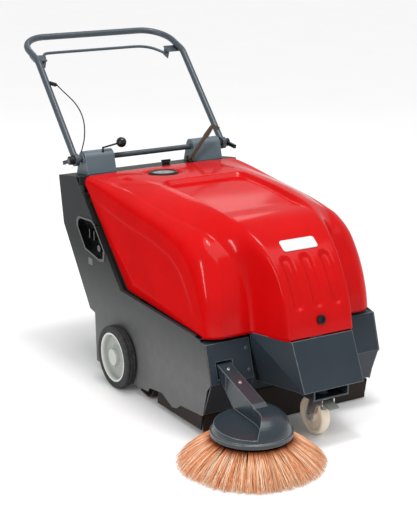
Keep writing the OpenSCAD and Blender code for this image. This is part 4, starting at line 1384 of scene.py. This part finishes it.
@dataclass
class ClutchCable(Piece):
    """The thin cable from the stop on the side tube down to the pedestal.

    The route is given in millimetres. The other sizes are in metres.
    """

    name = "clutch_cable_sleeve"
    body = "handle"
    node = "clutch_cable"
    slot = "black_plastic"
    look = Look.CABLE

    thickness: float = 0.004
    sides: int = 12
    per_span: int = 6
    across: Point = (1.0, 0.2, 0.1)
    route: tuple[Point, ...] = (
        (-252, 527, 873.5), (-251, 500, 864), (-250, 460, 852), (-250, 407, 836), (-251, 364, 815),
        (-253, 336, 790), (-256, 322, 762), (-259, 320, 730), (-263, 326, 702), (-264, 334, 686))

    def line(self) -> np.ndarray:
        """Points of the cable's centreline, as rows."""
        return spline(np.array(self.route, float) * MM, self.per_span)

    def surface(self) -> Surface:
        """Works out the cable as a tube along its line."""
        return tube(self.line(), self.thickness, self.sides, self.across)

    def build(self, finishes: Finishes) -> bpy.types.Object:
        """Args:
            finishes: The materials.

        Returns:
            The piece.
        """
        piece = super().build(finishes)
        line = self.line()
        return piece


@dataclass
class DriveBail(Piece):
    """The drive bail: a rod from pivot to pivot that curves widely at one end and tightly at the other.

    Each point of the route is x, the distance along the grip and the height over the grip. Sizes are in
    millimetres.
    """

    name = "drive_bail_rod"
    body = "drive_bail"
    node = "bail"
    slot = "handle_grey"
    look = Look.HANDLE

    thickness: float = 10.0
    sides: int = 16
    per_span: int = 6
    knee: Span = (618.4, 945.9)
    grip_tilt: float = 20.0
    route: tuple[Point, ...] = (
        (246, 38, -28), (238, 38, -28), (228, 40, -27.5), (216, 51, -25), (194, 67, -21.3),
        (164, 77.5, -18.8), (128, 81, -18), (60, 81, -18), (-60, 81, -18), (-180, 81, -18),
        (-212, 79, -18.5), (-222, 70, -20.6), (-225, 58, -23.3), (-229, 45, -26.4), (-237, 38, -28),
        (-246, 38, -28))

    def surface(self) -> Surface:
        """Works out the rod along a smooth curve through its route, tilted with the grip.

        Returns:
            The rod.
        """
        x, run, height = np.array(self.route, float).T
        tilt = math.radians(self.grip_tilt)
        y = self.knee[0] + run * math.cos(tilt) - height * math.sin(tilt)
        z = self.knee[1] + run * math.sin(tilt) + height * math.cos(tilt)
        line = spline(np.stack([x, y, z], 1), self.per_span) * MM
        return tube(line, self.thickness * MM, self.sides, (0.0, -math.sin(tilt), math.cos(tilt)))


@dataclass(frozen=True)
class Plate:
    """A thin plate with round corners and a softened edge, in its own plane. Sizes are in millimetres.

    Attributes:
        edge_share: How much of the smaller of corner and thickness the softened edge takes.
        edge_bulge: How far inside the edge's own corner its middle point lies, as a share of it.
        face_share: How much of a corner the face's last ring is drawn in.
    """

    half: Span
    corner: float
    thick: float
    per_corner: int = 12
    edge_share: float = 0.6
    edge_bulge: float = 0.3
    face_share: float = 0.99

    def grid(self) -> np.ndarray:
        """Rings of points from the middle of the back, round the rim, to the middle of the face.

        Returns:
            Points of shape (rings, points, 3), as distances across, up and out of the plane.
        """
        quarter = np.linspace(0, np.pi / 2, self.per_corner)
        a = np.concatenate([quarter + k * np.pi / 2 for k in range(4)])
        sx, sy = np.repeat([[1, -1, -1, 1], [1, 1, -1, -1]], self.per_corner, axis=1)
        edge = min(self.corner, self.thick) * self.edge_share
        bulge = edge * self.edge_bulge
        rim = [(0, 0), (0, self.thick - edge), (bulge, self.thick - bulge), (edge, self.thick),
               (self.corner * self.face_share, self.thick)]
        rings = [np.zeros((len(a), 3))]
        for inset, height in rim:
            across = sx * (self.half[0] - self.corner) + (self.corner - inset) * np.cos(a)
            up = sy * (self.half[1] - self.corner) + (self.corner - inset) * np.sin(a)
            rings.append(np.stack([across, up, np.full(len(a), height)], 1))
        rings.append(np.broadcast_to([0, 0, self.thick], rings[0].shape))
        return np.stack(rings)


@dataclass
class Badge(Piece):
    """The blank plate on the hood's front. Sizes are in millimetres."""

    name = "blank_badge"
    body = "hood"
    node = "badge_plate"
    slot = "badge"
    look = Look.BADGE

    hood: Hood = field(default_factory=Hood)
    place: float = 0.738
    plate: Plate = Plate((59.0, 20.0), 9.0, 2.0)
    lift: float = 0.15

    def surface(self) -> Surface:
        """Works out the plate on the crown's slope.

        Returns:
            The plate.
        """
        t = np.array([self.place])
        out = self.hood.outward(self.hood.crown, t)[0]
        seat = self.hood.crown(t)[0] + out * self.lift
        slope = np.array([out[1], -out[0]])
        across, up, high = np.moveaxis(self.plate.grid(), -1, 0)
        flat = seat + up[..., None] * slope + high[..., None] * out
        return Surface.grid(np.concatenate([across[..., None], flat], 2) * MM, wrap=True)


@dataclass
class PanelLabel(Piece):
    """The small blank label on the right side panel, below the recess. Sizes are in millimetres."""

    name = "panel_label"
    body = "chassis"
    slot = "badge"
    look = Look.LABEL

    panel_x: float = -298.0
    centre: Span = (216.0, 353.0)
    plate: Plate = Plate((14.5, 11.0), 1.5, 0.4)
    lift: float = 0.05

    def surface(self) -> Surface:
        """Works out the label on the panel's outer face.

        Returns:
            The label.
        """
        across, up, high = np.moveaxis(self.plate.grid(), -1, 0)
        y, z = self.centre
        points = np.stack([self.panel_x - self.lift - high, y - across, z + up], -1)
        return Surface.grid(points * MM, wrap=True)


@dataclass
class HoodSeal(Piece):
    """The foam lips inside the hood's lower edge: a bar on each side panel's flange, and a foot under it.

    Each bar is a rectangle carried along the flange's bent line. Sizes are in millimetres.
    """

    name = "hood_seal"
    body = "chassis"
    slot = "skirt_rubber"
    look = Look.SKIRT
    smooth = False

    line: Outline = ((240, 541), (12, 309), (-90, 306))
    lip: Outline = ((278.5, -5), (274.5, -5), (274.5, 27), (278.5, 27))
    foot: Outline = ((287, -5.5), (280, -5.5), (280, 0.5), (287, 0.5))

    def _bar(self, section: Outline, side: float) -> Surface:
        """One bar: the section's corners at each point of the line, along its mitred normals.

        Args:
            section: The four corners as (x, height).
            side: -1 for the right side, 1 for the left.

        Returns:
            The bar, closed at both ends.
        """
        line = np.array(self.line, float)
        along = unit(np.diff(line, axis=0))
        normal = np.stack([along[:, 1], -along[:, 0]], 1)
        corner = np.concatenate([normal[:1], normal[:-1] + normal[1:], normal[-1:]])
        corner /= (corner * np.concatenate([normal, normal[-1:]])).sum(1, keepdims=True)
        x, height = np.array(section, float).T
        flat = line[:, None] + corner[:, None] * height[None, :, None]
        wide = np.broadcast_to(side * x[None, :, None], (*flat.shape[:2], 1))
        grid = np.concatenate([wide, flat], 2) * MM
        bar = Surface.grid(grid[:, ::-1] if side > 0 else grid, wrap=True)
        end = len(bar.points)
        bar.faces = np.concatenate([bar.faces, [[3, 2, 1, 0], [end - 4, end - 3, end - 2, end - 1]]])
        return bar

    def surface(self) -> Surface:
        """Works out the four bars as one surface.

        Returns:
            The bars.
        """
        bars = [self._bar(section, side) for side in (-1.0, 1.0) for section in (self.lip, self.foot)]
        starts = np.cumsum([0] + [len(bar.points) for bar in bars])
        faces = np.concatenate([bar.faces + start for bar, start in zip(bars, starts)])
        return Surface(np.concatenate([bar.points for bar in bars]), faces)


@dataclass
class GaugeDial(Piece):
    """The printed face in the gauge's window: a disc just over the middle plane of the lens."""

    name = "gauge_dial"
    body = "hood"
    slot = "black_plastic"

    radius: float = 0.0385
    sides: int = 64
    rings: int = 4
    lift: float = 0.0006
    lens_thick: float = 0.004

    def _lens(self) -> tuple[Vector, Vector]:
        """Middle and size of the gauge's lens."""
        low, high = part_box("gauge_lens")
        return (low + high) / 2, high - low

    def finish(self) -> DialFace:
        """The dial's print, centred on the lens."""
        centre, _ = self._lens()
        return DialFace("gauge_print", (centre.x, centre.y), self.radius)

    def surface(self) -> Surface:
        """Works out the disc from the lens's place: rings of points on a plane with the lens's slope.

        Returns:
            The disc.
        """
        centre, size = self._lens()
        slope = (size.z - self.lens_thick) / size.y
        a = np.linspace(0, 2 * np.pi, self.sides, endpoint=False)
        r = np.linspace(0, self.radius, self.rings)[:, None]
        x = centre.x + r * np.cos(a)
        y = centre.y + r * np.sin(a)
        z = centre.z - (y - centre.y) * slope + self.lift
        return Surface.grid(np.stack([x, y, z], -1)[::-1], wrap=True)


@dataclass
class Studio:
    """The pale floor, the soft lights and the camera at the photograph's viewing angle."""

    image: tuple[int, int] = (417, 525)
    focal_px: float = 1400.0
    sensor_mm: float = 36.0
    camera_at: Point = (-2.197, -3.680, 1.603)
    azimuth: float = -31.0
    elevation: float = 16.2
    floor_half: float = 60.0
    floor_specks: float = 2.0
    floor_tints: tuple[Colour, Colour] = ((0.93, 0.93, 0.93), (0.96, 0.96, 0.96))
    floor_rough: float = 0.9
    lights: tuple[tuple[str, Point, Span, float], ...] = (
        ("overhead", (0.1, -0.5, 3.2), (0.55, 0.55), 26.0),
        ("side", (-3.6, -1.6, 2.2), (0.09, 2.0), 48.0),
        ("back", (1.8, 3.2, 2.6), (1.2, 1.2), 8.0))
    sky: float = 0.56
    sun: float = 1.45
    sun_width: float = 50.0
    sun_turn: Span = (14.0, 10.0)

    def build(self, target: Vector) -> None:
        """Makes the stage.

        Args:
            target: The point that the lights face.
        """
        self._floor()
        self._world()
        for name, place, size, power in self.lights:
            self._light(name, Vector(place), size, power, target)
        self._sun()
        self._camera()

    def _floor(self) -> None:
        """A pale floor at height 0."""
        side = np.array([-self.floor_half, self.floor_half])
        x, y = np.meshgrid(side, side)
        g = Graph("floor_paint")
        tint = g.blend(g.noise(self.floor_specks, detail=4.0), *self.floor_tints)
        paint = g.surface(Base_Color=tint, Roughness=self.floor_rough)
        floor = Surface.grid(np.stack([x, y, np.zeros_like(x)], -1)).piece("studio_floor", paint)
        floor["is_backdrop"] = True

    def _world(self) -> None:
        """White light from all round."""
        world = bpy.data.worlds.new("studio")
        world.use_nodes = True
        sky = world.node_tree.nodes["Background"]
        sky.inputs["Color"].default_value = (1.0, 1.0, 1.0, 1.0)
        sky.inputs["Strength"].default_value = self.sky
        bpy.context.scene.world = world
        bpy.context.scene.view_settings.view_transform = "Standard"

    def _light(self, name: str, place: Vector, size: Span, power: float, target: Vector) -> None:
        """One soft box that faces the machine.

        Args:
            name: The light's name.
            place: Its middle.
            size: Its width and height.
            power: Its power in watts.
            target: The point that it faces.
        """
        data = bpy.data.lights.new(name, "AREA")
        data.shape = "RECTANGLE"
        data.size, data.size_y = size
        data.energy = power
        lamp = bpy.data.objects.new(name, data)
        lamp.location = place
        lamp.rotation_euler = (target - place).to_track_quat("-Z", "Y").to_euler()
        bpy.context.scene.collection.objects.link(lamp)

    def _sun(self) -> None:
        """One wide soft light from above that whitens the floor evenly."""
        data = bpy.data.lights.new("ceiling", "SUN")
        data.energy = self.sun
        data.angle = math.radians(self.sun_width)
        lamp = bpy.data.objects.new("ceiling", data)
        lamp.rotation_euler = (*map(math.radians, self.sun_turn), 0.0)
        bpy.context.scene.collection.objects.link(lamp)

    def _camera(self) -> None:
        """The camera: its lens gives the photograph's focal length in pixels along the taller side."""
        a, e = math.radians(-self.azimuth), math.radians(self.elevation)
        look = Vector((math.sin(a) * math.cos(e), math.cos(a) * math.cos(e), -math.sin(e)))
        data = bpy.data.cameras.new("photo_view")
        data.sensor_width = self.sensor_mm
        data.lens = self.focal_px * self.sensor_mm / max(self.image)
        camera = bpy.data.objects.new("photo_view", data)
        camera.location = self.camera_at
        camera.rotation_euler = look.to_track_quat("-Z", "Y").to_euler()
        bpy.context.scene.collection.objects.link(camera)
        bpy.context.scene.camera = camera


class Sweeper:
    """The whole machine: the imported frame, its finishes and its modelled pieces."""

    def __init__(self) -> None:
        """Loads the frame and keeps its box."""
        self.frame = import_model()
        self.cad_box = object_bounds()
        self.finishes = Finishes()

    def dress_nodes(self) -> None:
        """Gives every node its finish."""
        for look, names in NODE_LOOKS.items():
            material = self.finishes.get(look.value)
            for name in names:
                mesh = self.frame["nodes"][name].data
                mesh.materials.clear()
                mesh.materials.append(material)

    def build_pieces(self) -> None:
        """Makes the modelled pieces."""
        shell = (Hood(), HoodSeal(), Badge(), PanelLabel(), GaugeDial())
        for part in (ClutchCable(), DriveBail(), *shell, SideBrush(), MainRoller()):
            piece = part.build(self.finishes)
            LOG.info("%s: %d faces", piece.name, len(piece.data.polygons))


def main() -> None:
    """Builds the sweeper and the studio."""
    logging.basicConfig(level=logging.INFO, format="%(name)s: %(message)s")
    sweeper = Sweeper()
    low, high = (Vector(corner) for corner in sweeper.cad_box)
    Studio().build((low + high) / 2)
    sweeper.build_pieces()
    sweeper.dress_nodes()


if __name__ == "__main__":
    main()
